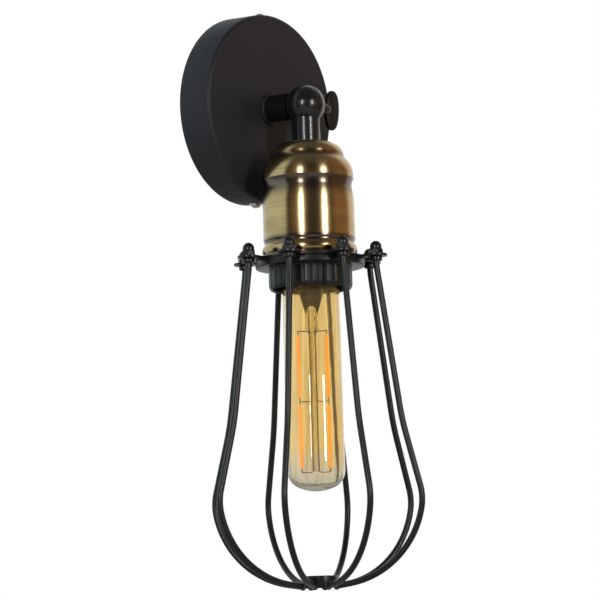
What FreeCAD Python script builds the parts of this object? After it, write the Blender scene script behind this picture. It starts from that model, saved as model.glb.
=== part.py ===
"""Cage wall light: a wall plate, a split-ball swivel, a brass lampholder, a wire cage and a bulb.

The frame is in millimetres. Its origin is the centre of the wall plate's back rim, on the wall.
+Z points up, +X to the right as seen from the room, and the light stands out along -Y.
The lamp's own pieces are drawn about its axis, with z = 0 at the centre of the ball, and then
turned together by the tilt of the lamp.
"""
import FreeCAD, Part
import math
import os
import re
import Sketcher

V = FreeCAD.Vector

SIZES = {
    "Fits": {
        "running_gap": 0.05,
        "screw_gap": 0.2,
        "washer_gap": 0.15,
        "seat_gap": 0.3,
        "body_gap": 0.4,
    },
    "Wall plate": {
        "plate_diameter": 100.0,
        "plate_depth": 20.0,
        "plate_wall": 1.2,
        "plate_edge_radius": 2.0,
        "side_screw_drop": 9.5,
        "side_screw_diameter": 4.0,
        "side_screw_length": 9.0,
        "side_head_diameter": 7.0,
        "side_head_height": 2.3,
    },
    "Mounting bracket": {
        "bracket_width": 18.0,
        "bracket_thickness": 1.5,
        "leg_margin": 5.5,
        "slot_spacing": 56.0,
        "slot_width": 4.5,
        "slot_length": 14.0,
        "cable_hole": 10.0,
        "tab_reach": 31.0,
        "tab_width": 32.0,
        "earth_offset": 14.5,
        "earth_screw_diameter": 3.5,
        "earth_head_diameter": 6.5,
        "earth_head_height": 2.2,
        "earth_washer_diameter": 9.0,
        "earth_washer_thickness": 0.8,
        "tag_thickness": 0.6,
        "tag_margin": 0.2,
        "tag_neck": 3.0,
        "crimp_length": 5.0,
        "crimp_wall": 0.45,
    },
    "Terminal block": {
        "block_length": 28.0,
        "block_width": 16.0,
        "block_height": 10.5,
        "block_offset": 21.0,
        "block_pitch": 9.0,
        "block_tower": 5.4,
        "wire_hole": 3.2,
        "terminal_screw_diameter": 3.0,
        "terminal_screw_length": 4.0,
        "fixing_screw_diameter": 2.6,
        "fixing_head_diameter": 4.8,
    },
    "Leads": {
        "lead_diameter": 2.4,
        "lead_bend": 6.0,
        "lead_spread": 1.7,
        "earth_spread": 2.2,
        "earth_bend": 3.0,
    },
    "Arm": {
        "ball_reach": 43.3,
        "arm_diameter": 14.5,
        "arm_washer_diameter": 17.0,
        "arm_washer_thickness": 1.2,
        "nipple_diameter": 10.0,
        "nipple_wall": 1.2,
        "nipple_grip": 7.0,
        "nipple_tail": 7.0,
        "nut_flats": 14.0,
        "nut_thickness": 4.0,
        "lock_washer_diameter": 17.5,
        "lock_washer_thickness": 0.8,
        "lead_bore": 6.4,
    },
    "Split ball": {
        "ball_diameter": 20.8,
        "split_gap": 0.6,
        "pocket_radius": 6.8,
        "pocket_depth": 3.0,
        "pocket_boss": 8.6,
        "friction_washer_inset": 1.1,
        "spot_face_diameter": 9.6,
        "spot_face_depth": 1.5,
        "thumb_diameter": 5.0,
        "thumb_reach": 7.0,
        "thumb_collar_diameter": 7.0,
        "thumb_collar_length": 7.6,
        "thumb_height": 21.2,
        "thumb_width": 10.4,
        "thumb_thickness": 2.6,
        "thumb_edge_radius": 0.9,
        "spring_washer_diameter": 8.8,
        "spring_washer_thickness": 1.0,
    },
    "Lamp": {
        "lamp_tilt": 3.6,
        "neck_diameter": 14.6,
        "neck_length": 21.0,
    },
    "Brass cap": {
        "cap_height": 19.4,
        "cap_land_radius": 13.6,
        "cap_corner": 0.5,
        "cap_dome_radius": 19.1,
        "cap_dome_drop": 5.6,
        "cap_dome_bend": 6.8,
        "cap_cove_radius": 20.6,
        "cap_cove_drop": 9.0,
        "cap_cove_bend": 5.0,
        "cap_band_radius": 24.0,
        "cap_band_drop": 17.8,
        "cap_band_bend": 12.2,
        "cap_wall": 0.9,
        "cap_thread_radius": 21.9,
        "cap_thread_drop": 11.6,
    },
    "Brass barrel": {
        "barrel_drop": 60.4,
        "barrel_neck_wall": 1.0,
        "barrel_neck_top": 12.4,
        "lip_radius": 23.8,
        "lip_bend": 9.0,
        "waist_radius": 22.9,
        "waist_drop": 23.8,
        "lower_radius": 23.9,
        "lower_drop": 33.0,
        "lower_bend": 45.0,
        "line_drop": 48.4,
        "line_radius": 23.5,
        "line_height": 0.5,
        "bead_radius": 24.1,
        "bead_bottom": 52.3,
        "flare_top": 53.0,
        "flare_radius": 25.1,
        "flare_drop": 58.6,
        "flange_radius": 25.4,
        "barrel_mouth_radius": 24.5,
    },
    "Lampholder": {
        "core_depth": 33.9,
        "core_floor": 10.0,
        "core_shoulder_gap": 1.0,
        "core_shoulder": 2.0,
        "core_thread_radius": 19.7,
        "core_thread_length": 11.5,
        "base_gap": 0.5,
        "shell_wall": 0.5,
        "shell_length": 27.0,
        "shell_inset": 1.5,
        "tongue_width": 6.0,
        "tongue_length": 17.0,
        "tongue_thickness": 0.5,
        "tongue_rise": 2.2,
        "post_offset": 14.6,
        "post_width": 7.0,
        "post_depth": 6.0,
        "post_height": 8.0,
        "post_screw_diameter": 3.0,
        "post_screw_head": 1.6,
    },
    "Shade ring": {
        "ring_flange_radius": 28.4,
        "ring_flange_height": 3.6,
        "ring_wall": 2.0,
        "ring_height": 15.0,
        "ring_chamfer": 1.6,
        "ring_grip_count": 24.0,
        "ring_grip_radius": 0.55,
    },
    "Cage plate": {
        "cage_plate_radius": 28.5,
        "cage_plate_thickness": 1.2,
        "ear_count": 8.0,
        "ear_centre": 35.6,
        "ear_radius": 5.75,
        "ear_neck": 7.0,
        "stud_diameter": 3.0,
        "acorn_flats": 6.5,
        "acorn_hex": 3.0,
        "acorn_dome_diameter": 6.0,
        "acorn_height": 6.9,
        "lock_nut_diameter": 6.3,
        "lock_nut_height": 2.4,
    },
    "Cage ribs": {
        "rib_diameter": 3.2,
        "stud_length": 5.0,
        "shoulder_bend": 14.0,
        "flare_corner_radius": 46.4,
        "flare_corner_drop": 84.7,
        "flare_bend": 136.0,
        "belly_corner_radius": 56.1,
        "belly_corner_drop": 123.9,
        "belly_bend": 27.0,
        "bowl_corner_radius": 49.2,
        "bowl_corner_drop": 161.6,
        "bowl_bend": 46.6,
    },
    "Bottom ring": {
        "band_radius": 9.3,
        "band_wall": 1.5,
        "band_height": 6.2,
        "band_drop": 162.5,
        "rib_end_drop": 168.0,
    },
    "Bulb": {
        "bulb_length": 142.0,
        "contact_gap": 0.8,
        "glass_radius": 14.9,
        "glass_wall": 0.8,
        "glass_neck_length": 3.5,
        "glass_shoulder": 5.5,
        "glass_crown": 24.0,
        "glass_corner": 8.5,
        "base_radius": 13.2,
        "base_wall": 0.55,
        "base_length": 25.0,
        "base_cone": 3.2,
        "contact_radius": 4.8,
        "contact_height": 1.0,
        "stem_radius": 1.9,
        "stem_flare": 6.5,
        "stem_pinch_drop": 56.0,
        "stem_end_rise": 10.0,
        "stick_diameter": 1.6,
        "stick_length": 33.5,
        "stick_offset": 7.4,
        "stick_top_drop": 61.5,
        "stick_gap": 3.4,
        "stick_turn": -50.0,
        "hook_diameter": 0.7,
    },
}

# Sizes that follow from others: what fits in, seats on or lines up with another piece.
FOLLOWING = {
    "side_screw_height": "plate_depth - side_screw_drop",
    "bracket_leg": "side_screw_height + leg_margin",
    "nipple_bore": "nipple_diameter - 2 * nipple_wall",
    "friction_washer_diameter": "ball_diameter - 2 * friction_washer_inset",
    "spot_face_height": "ball_diameter / 2 - spot_face_depth",
    "barrel_inner_radius": "cap_thread_radius - barrel_neck_wall",
    "core_radius": "barrel_inner_radius - seat_gap",
    "core_floor_drop": "barrel_drop + core_thread_length - core_depth",
    "core_top_drop": "core_floor_drop - core_floor",
    "core_shoulder_radius": "barrel_mouth_radius - core_shoulder_gap",
    "shell_radius": "base_radius + base_gap + shell_wall",
    "ring_skirt_radius": "core_thread_radius + ring_wall",
    "glass_neck_radius": "base_radius - base_wall - running_gap",
    "bulb_top_drop": "neck_length + core_floor_drop + tongue_rise + contact_gap",
    "bulb_tip_drop": "bulb_top_drop + bulb_length",
}

NUMBERS = {alias: value for group in SIZES.values() for alias, value in group.items()}
NUMBERS.update(FOLLOWING)
WORD = re.compile(r"[a-z][a-z_]*")

document = FreeCAD.newDocument("cage_wall_light")
sheet = document.addObject("Spreadsheet::Sheet", "Sizes")


def write_sheet():
    """Write each driving size in the sheet, with its alias, under the name of its piece."""
    row = 1
    for group, sizes in SIZES.items():
        sheet.set(f"A{row}", group)
        row += 1
        for alias, value in sizes.items():
            sheet.set(f"A{row}", alias.replace("_", " "))
            sheet.set(f"B{row}", str(value))
            sheet.setAlias(f"B{row}", alias)
            row += 1
    sheet.set(f"A{row}", "Sizes that follow")
    for alias, formula in FOLLOWING.items():
        row += 1
        sheet.set(f"A{row}", alias.replace("_", " "))
        sheet.set(f"B{row}", f"={formula}")
        sheet.setAlias(f"B{row}", alias)
    document.recompute()


def bound(formula):
    """A formula of aliases as an expression on the sheet."""
    return WORD.sub(lambda m: f"Sizes.{m.group()}" if m.group() in NUMBERS else m.group(), formula)


def number(formula):
    """What a formula of aliases comes to now."""
    result = sheet.evalExpression(bound(formula))
    return float(getattr(result, "Value", result))


# ---------------------------------------------------------------- frames

def plate_frame():
    """Pieces drawn on the wall: their z is the height off the wall, and their y points up."""
    return FreeCAD.Placement(V(0, 0, 0), FreeCAD.Rotation(V(1, 0, 0), 90))


def ball_frame():
    """Pieces of the arm: drawn about the centre of the ball, in the light's own directions."""
    return FreeCAD.Placement(V(0, -number("ball_reach"), 0), FreeCAD.Rotation())


def lamp_frame(turn=0.0):
    """Pieces of the lamp: the ball's centre, tilted with the lamp, and turned about its axis."""
    tilt = FreeCAD.Rotation(V(1, 0, 0), -number("lamp_tilt"))
    spin = FreeCAD.Rotation(V(0, 0, 1), turn)
    return FreeCAD.Placement(V(0, -number("ball_reach"), 0), tilt * spin)


# ---------------------------------------------------------------- solids from primitives

AXES = {
    "X": FreeCAD.Rotation(V(0, 1, 0), 90),
    "Y": FreeCAD.Rotation(V(1, 0, 0), -90),
    "Z": FreeCAD.Rotation(),
}


def primitive(kind, sizes, at=("0", "0", "0"), axis="Z", turn=None):
    """A primitive whose sizes and place follow the sheet, with its own axis along X, Y or Z."""
    solid = document.addObject(f"Part::{kind}", kind)
    solid.Placement = FreeCAD.Placement(V(), turn or AXES[axis])
    for name, formula in sizes.items():
        solid.setExpression(name, bound(formula))
    for name, formula in zip("xyz", at):
        if formula != "0":
            solid.setExpression(f"Placement.Base.{name}", bound(formula))
    return solid


def cylinder(radius, height, at=("0", "0", "0"), axis="Z"):
    return primitive("Cylinder", {"Radius": radius, "Height": height}, at, axis)


def sphere(radius, at=("0", "0", "0")):
    return primitive("Sphere", {"Radius": radius}, at)


def block(length, width, height, at):
    """A box with its lowest corner at a place."""
    return primitive("Box", {"Length": length, "Width": width, "Height": height}, at)


def hexagon(flats, height, at=("0", "0", "0")):
    """A six-sided prism, by its size across flats."""
    prism = primitive("Prism", {"Circumradius": f"({flats}) / sqrt(3)", "Height": height}, at)
    prism.Polygon = 6
    return prism


def cut(base, *tools):
    """A solid less each tool."""
    for tool in tools:
        result = document.addObject("Part::Cut", "Cut")
        result.Base = base
        result.Tool = tool
        base = result
    return base


def fused(*solids):
    result = document.addObject("Part::MultiFuse", "Fuse")
    result.Shapes = list(solids)
    result.Refine = True
    return result


def common(*solids):
    result = document.addObject("Part::MultiCommon", "Common")
    result.Shapes = list(solids)
    return result


def group(solids):
    """Alike pieces that share a name, each a solid of its own."""
    result = document.addObject("Part::Compound", "Group")
    result.Links = list(solids)
    return result


# ---------------------------------------------------------------- solids from sketches

def new_body():
    return document.addObject("PartDesign::Body", "Body")


def new_sketch(body, role, offset=None):
    """A sketch on one of the body's own planes, lifted off it by a formula."""
    sketch = body.newObject("Sketcher::SketchObject", "Sketch")
    plane = next(p for p in body.Origin.OriginFeatures if p.Role == role)
    sketch.AttachmentSupport = [(plane, "")]
    sketch.MapMode = "FlatFace"
    if offset:
        sketch.setExpression("AttachmentOffset.Base.z", bound(offset))
    return sketch


def pin(sketch, kind, geometry, point, formula):
    """Hold a point of the sketch at a distance from its origin."""
    if formula == "0":
        axis = -2 if kind == "DistanceX" else -1
        sketch.addConstraint(Sketcher.Constraint("PointOnObject", geometry, point, axis))
        return
    index = sketch.addConstraint(
        Sketcher.Constraint(kind, -1, 1, geometry, point, number(formula)))
    sketch.setExpression(f"Constraints[{index}]", bound(formula))


def arc_between(start, end, radius, side):
    """The short arc from start to end; side is 1 for a centre left of the way, -1 for right."""
    chord = end - start
    middle = (start + end) * 0.5
    left = V(-chord.y, chord.x, 0).normalize()
    reach = math.sqrt(max(radius ** 2 - chord.Length ** 2 / 4, 1e-9))
    centre = middle + left * (reach * side)
    first, last = (start, end) if side > 0 else (end, start)
    circle = Part.Circle(centre, V(0, 0, 1), radius)
    return Part.ArcOfCircle(circle, circle.parameter(first), circle.parameter(last))


def outline(sketch, corners):
    """A closed outline. A corner is (x, y) after a line, or (x, y, radius, side) after an arc."""
    places = [V(number(c[0]), number(c[1]), 0) for c in corners]
    starts = []
    ends = []
    for i, corner in enumerate(corners):
        start = places[i - 1]
        end = places[i]
        if len(corner) == 2:
            geometry = sketch.addGeometry(Part.LineSegment(start, end))
            starts.append((geometry, 1))
            ends.append((geometry, 2))
            continue
        radius, side = corner[2:]
        geometry = sketch.addGeometry(arc_between(start, end, number(radius), side))
        starts.append((geometry, 1 if side > 0 else 2))
        ends.append((geometry, 2 if side > 0 else 1))
    for i, corner in enumerate(corners):
        following = starts[(i + 1) % len(corners)]
        sketch.addConstraint(Sketcher.Constraint("Coincident", *ends[i], *following))
        pin(sketch, "DistanceX", *ends[i], corner[0])
        pin(sketch, "DistanceY", *ends[i], corner[1])
        if len(corner) == 4:
            geometry = ends[i][0]
            index = sketch.addConstraint(
                Sketcher.Constraint("Radius", geometry, number(corner[2])))
            sketch.setExpression(f"Constraints[{index}]", bound(corner[2]))


def circle(sketch, x, y, radius):
    """A circle held by its centre and radius."""
    centre = V(number(x), number(y), 0)
    geometry = sketch.addGeometry(Part.Circle(centre, V(0, 0, 1), number(radius)))
    pin(sketch, "DistanceX", geometry, 3, x)
    pin(sketch, "DistanceY", geometry, 3, y)
    index = sketch.addConstraint(Sketcher.Constraint("Radius", geometry, number(radius)))
    sketch.setExpression(f"Constraints[{index}]", bound(radius))


def rectangle(sketch, left, bottom, right, top):
    outline(sketch, [(left, bottom), (right, bottom), (right, top), (left, top)])


def revolved(corners):
    """A turned solid: the outline's x is the radius, and its y runs along the axis."""
    body = new_body()
    sketch = new_sketch(body, "XZ_Plane")
    outline(sketch, corners)
    turned = body.newObject("PartDesign::Revolution", "Revolution")
    turned.Profile = sketch
    turned.ReferenceAxis = (sketch, ["V_Axis"])
    turned.Angle = 360
    document.recompute()
    return body


def pad(body, sketch, length):
    feature = body.newObject("PartDesign::Pad", "Pad")
    feature.Profile = sketch
    feature.setExpression("Length", bound(length))
    document.recompute()
    return feature


def pocket(body, sketch, length=None, reverse=False):
    """A cut from the sketch's plane, to a depth or through everything."""
    before = body.Shape.Volume
    feature = body.newObject("PartDesign::Pocket", "Pocket")
    feature.Profile = sketch
    feature.Reversed = reverse
    if length:
        feature.setExpression("Length", bound(length))
    else:
        feature.Type = "ThroughAll"
        feature.Midplane = True
    document.recompute()
    if body.Shape.Volume > before - 1e-6:
        raise RuntimeError(f"{body.Name}: the pocket {feature.Name} cuts nothing")
    return feature


def polar(body, feature, count):
    """Repeat a feature about the body's own z axis."""
    pattern = body.newObject("PartDesign::PolarPattern", "PolarPattern")
    pattern.Originals = [feature]
    axis = next(a for a in body.Origin.OriginFeatures if a.Role == "Z_Axis")
    pattern.Axis = (axis, [""])
    pattern.Angle = 360
    pattern.setExpression("Occurrences", bound(count))
    body.Tip = pattern
    document.recompute()
    return pattern


# ---------------------------------------------------------------- finished pieces

PIECES = []


def piece(label, solid, frame):
    """Name a finished piece and set it in the light."""
    document.recompute()
    solid.Label = label
    solid.Placement = frame
    PIECES.append(solid)
    return solid


def wall_plate():
    """A drawn cup: a flat face, a small front radius, and holes for the arm and side screws."""
    radius = "plate_diameter / 2"
    inside = "plate_diameter / 2 - plate_wall"
    body = revolved([
        ("nipple_diameter / 2 + screw_gap", "plate_depth - plate_wall"),
        ("plate_diameter / 2 - plate_edge_radius", "plate_depth - plate_wall"),
        (inside, "plate_depth - plate_edge_radius", "plate_edge_radius - plate_wall", -1),
        (inside, "0"),
        (radius, "0"),
        (radius, "plate_depth - plate_edge_radius"),
        ("plate_diameter / 2 - plate_edge_radius", "plate_depth", "plate_edge_radius", 1),
        ("nipple_diameter / 2 + screw_gap", "plate_depth"),
    ])
    holes = new_sketch(body, "XZ_Plane")
    circle(holes, "0", "side_screw_height", "side_screw_diameter / 2 + screw_gap")
    pocket(body, holes)
    return piece("wall_plate", body, plate_frame())


def mounting_bracket():
    """A folded steel strap: slots for the wall, a side tab, and two tapped legs for the rim."""
    body = new_body()
    strap = new_sketch(body, "XY_Plane")
    half = "bracket_width / 2"
    end = "sqrt((plate_diameter / 2 - plate_wall - body_gap) ^ 2 - bracket_width ^ 2 / 4)"
    tab = "tab_width / 2"
    outline(strap, [
        (f"-{half}", f"-({end})"), (half, f"-({end})"), (half, f"-{tab}"),
        ("tab_reach", f"-{tab}"), ("tab_reach", tab), (half, tab),
        (half, end), (f"-{half}", end),
    ])
    pad(body, strap, "bracket_thickness")
    for side in (1, -1):
        leg = new_sketch(body, "XY_Plane", "bracket_thickness")
        outer = end if side > 0 else f"-({end})"
        inner = f"{end} - bracket_thickness" if side > 0 else f"-({end}) + bracket_thickness"
        low, high = (inner, outer) if side > 0 else (outer, inner)
        rectangle(leg, f"-{half}", low, half, high)
        pad(body, leg, "bracket_leg - bracket_thickness")
    openings = new_sketch(body, "XY_Plane")
    circle(openings, "0", "0", "cable_hole / 2")
    for side in ("", "-"):
        slot_middle = f"{side}slot_spacing / 2"
        straight = "(slot_length - slot_width) / 2"
        wide = "slot_width / 2"
        outline(openings, [
            (f"-{wide}", f"{slot_middle} - {straight}"),
            (wide, f"{slot_middle} - {straight}", f"{wide} * 1.0001", 1),
            (wide, f"{slot_middle} + {straight}"),
            (f"-{wide}", f"{slot_middle} + {straight}", f"{wide} * 1.0001", 1),
        ])
    circle(openings, "0", "-earth_offset", "earth_screw_diameter / 2 + running_gap")
    circle(openings, "block_offset", "0", "fixing_screw_diameter / 2 + running_gap")
    pocket(body, openings)
    taps = new_sketch(body, "XZ_Plane")
    circle(taps, "0", "side_screw_height", "side_screw_diameter / 2 + running_gap")
    pocket(body, taps)
    return piece("mounting_bracket", body, plate_frame())


def side_screws():
    """Two slotted round-head screws that hold the rim to the bracket's legs."""
    screws = []
    for side in (1, -1):
        head_dome = sphere("(side_head_diameter / 2) ^ 2 / side_head_height / 2"
                           " + side_head_height / 2",
                           ("0", "0", "side_head_height / 2"
                                      " - (side_head_diameter / 2) ^ 2 / side_head_height / 2"))
        head_room = cylinder("side_head_diameter / 2 + 1", "side_head_height")
        slot = block("side_head_diameter + 2", "0.8", "side_head_height",
                     ("-side_head_diameter / 2 - 1", "-0.4", "side_head_height - 0.8"))
        shank = cylinder("side_screw_diameter / 2", "side_screw_length",
                         ("0", "0", "-side_screw_length"))
        screw = fused(cut(common(head_dome, head_room), slot), shank)
        turn = FreeCAD.Rotation(V(1, 0, 0), -90 * side)
        lift = number("plate_diameter / 2 + running_gap / 2") * side
        screw.Placement = FreeCAD.Placement(V(0, lift, number("side_screw_height")), turn)
        screws.append(screw)
    return piece("side_screws", group(screws), plate_frame())


def terminal_block():
    """A three-way block: a low base with a tower for each way, open along the wires."""
    low = "bracket_thickness"
    base = block("block_width", "block_length", "block_height * 0.55",
                 ("block_offset - block_width / 2", "-block_length / 2", low))
    solids = [base]
    holes = []
    for way in (-1, 0, 1):
        centre = f"{way} * block_pitch"
        if way:
            solids.append(block(
                "block_width", "block_tower", "block_height",
                ("block_offset - block_width / 2", f"{centre} - block_tower / 2", low)))
            bore = f"{low} + block_height * 0.45"
            holes.append(cylinder("wire_hole / 2", "block_width + 2",
                                  ("block_offset - block_width / 2 - 1", centre, bore), "X"))
        for end in (-1, 1):
            if way:
                holes.append(cylinder(
                    "terminal_screw_diameter / 2 + running_gap", "block_height",
                    (f"block_offset + {end} * block_width / 4", centre,
                     f"{low} + block_height * 0.45")))
    holes.append(cylinder("fixing_screw_diameter / 2 + running_gap", "block_height + 2",
                          ("block_offset", "0", f"{low} - 1")))
    return piece("terminal_block", cut(fused(*solids), *holes), plate_frame())


def terminal_screws():
    """The clamping screws of the two live ways."""
    screws = []
    for way in (-1, 1):
        for end in (-1, 1):
            top = "bracket_thickness + block_height - 0.4"
            x = f"block_offset + {end} * block_width / 4"
            shank = cylinder("terminal_screw_diameter / 2", "terminal_screw_length",
                             (x, f"{way} * block_pitch", f"{top} - terminal_screw_length"))
            slot = block("terminal_screw_diameter + 1", "0.6", "1.2",
                         (f"{x} - terminal_screw_diameter / 2 - 0.5",
                          f"{way} * block_pitch - 0.3", f"{top} - 0.8"))
            screws.append(cut(shank, slot))
    return piece("terminal_screws", group(screws), plate_frame())


def fixing_screw():
    """The screw that holds the terminal block on the bracket's tab."""
    top = "bracket_thickness + block_height * 0.55"
    shank = cylinder("fixing_screw_diameter / 2", top, ("block_offset", "0", "0"))
    head = cylinder("fixing_head_diameter / 2", "1.6", ("block_offset", "0", top))
    slot = block("fixing_head_diameter + 1", "0.7", "1.2",
                 ("block_offset - fixing_head_diameter / 2 - 0.5", "-0.35", f"{top} + 0.8"))
    return piece("fixing_screw", cut(fused(shank, head), slot), plate_frame())


def earth_screw():
    """A cheese-head screw in the bracket for the earth wire."""
    seat = "bracket_thickness + earth_washer_thickness + tag_thickness"
    shank = cylinder("earth_screw_diameter / 2", seat, ("0", "-earth_offset", "0"))
    head = cylinder("earth_head_diameter / 2", "earth_head_height", ("0", "-earth_offset", seat))
    slot = block("earth_head_diameter + 1", "0.9", "1.4",
                 ("-earth_head_diameter / 2 - 0.5", "-earth_offset - 0.45",
                  f"{seat} + earth_head_height - 1.1"))
    return piece("earth_screw", cut(fused(shank, head), slot), plate_frame())


def earth_tag():
    """The ring terminal under the earth screw's head, with its crimp round the earth lead."""
    seat = "bracket_thickness + earth_washer_thickness"
    crimp = "lead_diameter / 2 + running_gap + crimp_wall"
    start = "-earth_offset + earth_head_diameter / 2 + seat_gap"
    ring = cylinder("earth_head_diameter / 2 + tag_margin", "tag_thickness",
                    ("0", "-earth_offset", seat))
    neck = block("tag_neck", "earth_head_diameter / 2 + seat_gap + 1", "tag_thickness",
                 ("-tag_neck / 2", "-earth_offset", seat))
    barrel = cylinder(crimp, "crimp_length", ("0", start, f"{seat} + {crimp}"), "Y")
    bore = cylinder("lead_diameter / 2 + running_gap", "crimp_length + 2",
                    ("0", f"{start} - 1", f"{seat} + {crimp}"), "Y")
    hole = cylinder("earth_screw_diameter / 2 + running_gap", "tag_thickness + 2",
                    ("0", "-earth_offset", f"{seat} - 1"))
    return piece("earth_tag", fused(cut(fused(ring, neck), hole), cut(barrel, bore)),
                 plate_frame())


def washer(label, outer, inner, thickness, at, frame, axis="Z"):
    """A flat ring."""
    reach = "0.5"
    x, y, z = at
    start = {"X": (f"{x} - 0.5", y, z), "Y": (x, f"{y} - 0.5", z), "Z": (x, y, f"{z} - 0.5")}[axis]
    disc = cylinder(outer, thickness, at, axis)
    hole = cylinder(inner, f"{thickness} + 2 * ({reach})", start, axis)
    return piece(label, cut(disc, hole), frame)


def arm_nipple():
    """A threaded tube from the arm's bore, through the plate, to its nut."""
    start = "plate_depth - plate_wall - nipple_tail"
    length = "nipple_tail + plate_wall + arm_washer_thickness + nipple_grip"
    tube = cylinder("nipple_diameter / 2", length, ("0", "0", start))
    bore = cylinder("nipple_bore / 2", f"{length} + 2", ("0", "0", f"{start} - 1"))
    return piece("arm_nipple", cut(tube, bore), plate_frame())


def nut(label, top, frame, at_y="0"):
    """A thin hexagon nut on a nipple, by the height of its top face."""
    base = f"{top} - nut_thickness"
    prism = hexagon("nut_flats", "nut_thickness", ("0", at_y, base))
    hole = cylinder("nipple_diameter / 2 + running_gap", "nut_thickness + 2",
                    ("0", at_y, f"{base} - 1"))
    return piece(label, cut(prism, hole), frame)


def half_space(side, start):
    """A block that holds all of the ball on one side of the split plane."""
    size = "ball_diameter * 4"
    x = start if side > 0 else f"-({start}) - {size}"
    return block(size, size, size, (x, "-ball_diameter * 2", "-ball_diameter * 2"))


def knuckle(side, leg_radius, leg_length, leg_axis):
    """One half of the split ball with its leg, hollow for the leads and bored for the screw.

    The leg is as wide as the whole ball's middle, so beside the other half it is hollowed to
    a running gap round it.
    """
    ball = common(sphere("ball_diameter / 2"), half_space(side, "split_gap / 2"))
    start = {"Y": ("0", "0", "0"), "Z": ("0", "0", f"-({leg_length})")}[leg_axis]
    leg = cylinder(leg_radius, leg_length, start, leg_axis)
    other = half_space(-side, "-split_gap / 2")
    room = common(sphere("ball_diameter / 2 + body_gap"), other)
    solid = fused(ball, cut(leg, room))
    face = "split_gap / 2" if side > 0 else "-split_gap / 2 - pocket_depth"
    pocket_disc = cylinder("pocket_radius", "pocket_depth", (face, "0", "0"), "X")
    boss = cylinder("pocket_boss / 2", "pocket_depth", (face, "0", "0"), "X")
    channel_start = {
        "Y": ("0", "pocket_boss / 2", "0"),
        "Z": ("0", "0", f"-({leg_length}) - 1"),
    }[leg_axis]
    channel = cylinder("lead_bore / 2", f"{leg_length} + 1 - pocket_boss / 2",
                       channel_start, leg_axis)
    tap_start = {
        "Y": ("0", f"{leg_length} - nipple_grip - 0.5", "0"),
        "Z": ("0", "0", f"-({leg_length}) - 1"),
    }[leg_axis]
    tap = cylinder("nipple_diameter / 2 + running_gap", "nipple_grip + 1.5", tap_start, leg_axis)
    return cut(solid, cut(pocket_disc, boss), channel, tap)


def arm_knuckle():
    """The fixed half of the ball, with the level leg that stands on the wall plate."""
    length = "ball_reach - plate_depth - arm_washer_thickness"
    half = knuckle(1, "arm_diameter / 2", length, "Y")
    spot = cylinder("spot_face_diameter / 2", "ball_diameter", ("spot_face_height", "0", "0"), "X")
    hole = cylinder("thumb_diameter / 2 + running_gap", "ball_diameter", ("0", "0", "0"), "X")
    return piece("arm_knuckle", cut(half, spot, hole), ball_frame())


def lamp_knuckle():
    """The turning half of the ball, with the neck that carries the lampholder."""
    half = knuckle(-1, "neck_diameter / 2", "neck_length", "Z")
    tap = cylinder("thumb_diameter / 2 + running_gap", "thumb_reach + 0.6",
                   ("-thumb_reach - 0.6", "0", "0"), "X")
    return piece("lamp_knuckle", cut(half, tap), lamp_frame())


def thumb_screw():
    """A screw with a short collar and a flat oval head."""
    seat = "spot_face_height + spring_washer_thickness + running_gap"
    shank = cylinder("thumb_diameter / 2", f"{seat} + thumb_reach + 0.5",
                     ("-thumb_reach", "0", "0"), "X")
    collar = cylinder("thumb_collar_diameter / 2", "thumb_collar_length", (seat, "0", "0"), "X")
    body = new_body()
    sketch = new_sketch(body, "XZ_Plane", "-thumb_thickness / 2")
    middle = f"{seat} + thumb_collar_length + thumb_width / 2 - 0.9"
    round_end = "thumb_width / 2 * 1.0001"
    straight = "(thumb_height - thumb_width) / 2"
    outline(sketch, [
        (f"{middle} - thumb_width / 2", f"-({straight})"),
        (f"{middle} + thumb_width / 2", f"-({straight})", round_end, 1),
        (f"{middle} + thumb_width / 2", straight),
        (f"{middle} - thumb_width / 2", straight, round_end, 1),
    ])
    head = pad(body, sketch, "thumb_thickness")
    rounding = body.newObject("PartDesign::Fillet", "Fillet")
    faces = [f"Face{i + 1}" for i, face in enumerate(head.Shape.Faces)
             if abs(face.normalAt(0, 0).y) > 0.99]
    rounding.Base = (head, faces)
    rounding.setExpression("Radius", bound("thumb_edge_radius"))
    document.recompute()
    return piece("thumb_screw", fused(shank, collar, body), ball_frame())


# ---------------------------------------------------------------- the lampholder

def drop(formula):
    """A height on the lampholder, as a formula, by how far it lies below the neck's end."""
    return f"-neck_length - ({formula})"


def brass_cap():
    """The turned upper shell: a land, a dome, a cove and a convex band."""
    body = revolved([
        ("nipple_diameter / 2 + screw_gap", drop("0")),
        ("nipple_diameter / 2 + screw_gap", drop("cap_wall")),
        ("cap_land_radius - cap_wall / 2", drop("cap_wall")),
        ("cap_dome_radius - cap_wall * 1.5", drop("cap_dome_drop"),
         "cap_dome_bend - cap_wall", -1),
        ("cap_cove_radius - cap_wall * 1.5", drop("cap_cove_drop")),
        ("cap_thread_radius - 1", drop("cap_thread_drop")),
        ("cap_thread_radius", drop("cap_thread_drop")),
        ("cap_thread_radius", drop("cap_height")),
        ("cap_band_radius", drop("cap_height")),
        ("cap_band_radius", drop("cap_band_drop")),
        ("cap_cove_radius", drop("cap_cove_drop"), "cap_band_bend", 1),
        ("cap_dome_radius", drop("cap_dome_drop"), "cap_cove_bend", -1),
        ("cap_land_radius + cap_corner", drop("cap_corner"), "cap_dome_bend", 1),
        ("cap_land_radius", drop("0"), "cap_corner * 1.0001", 1),
    ])
    return piece("brass_cap", body, lamp_frame())


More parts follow.
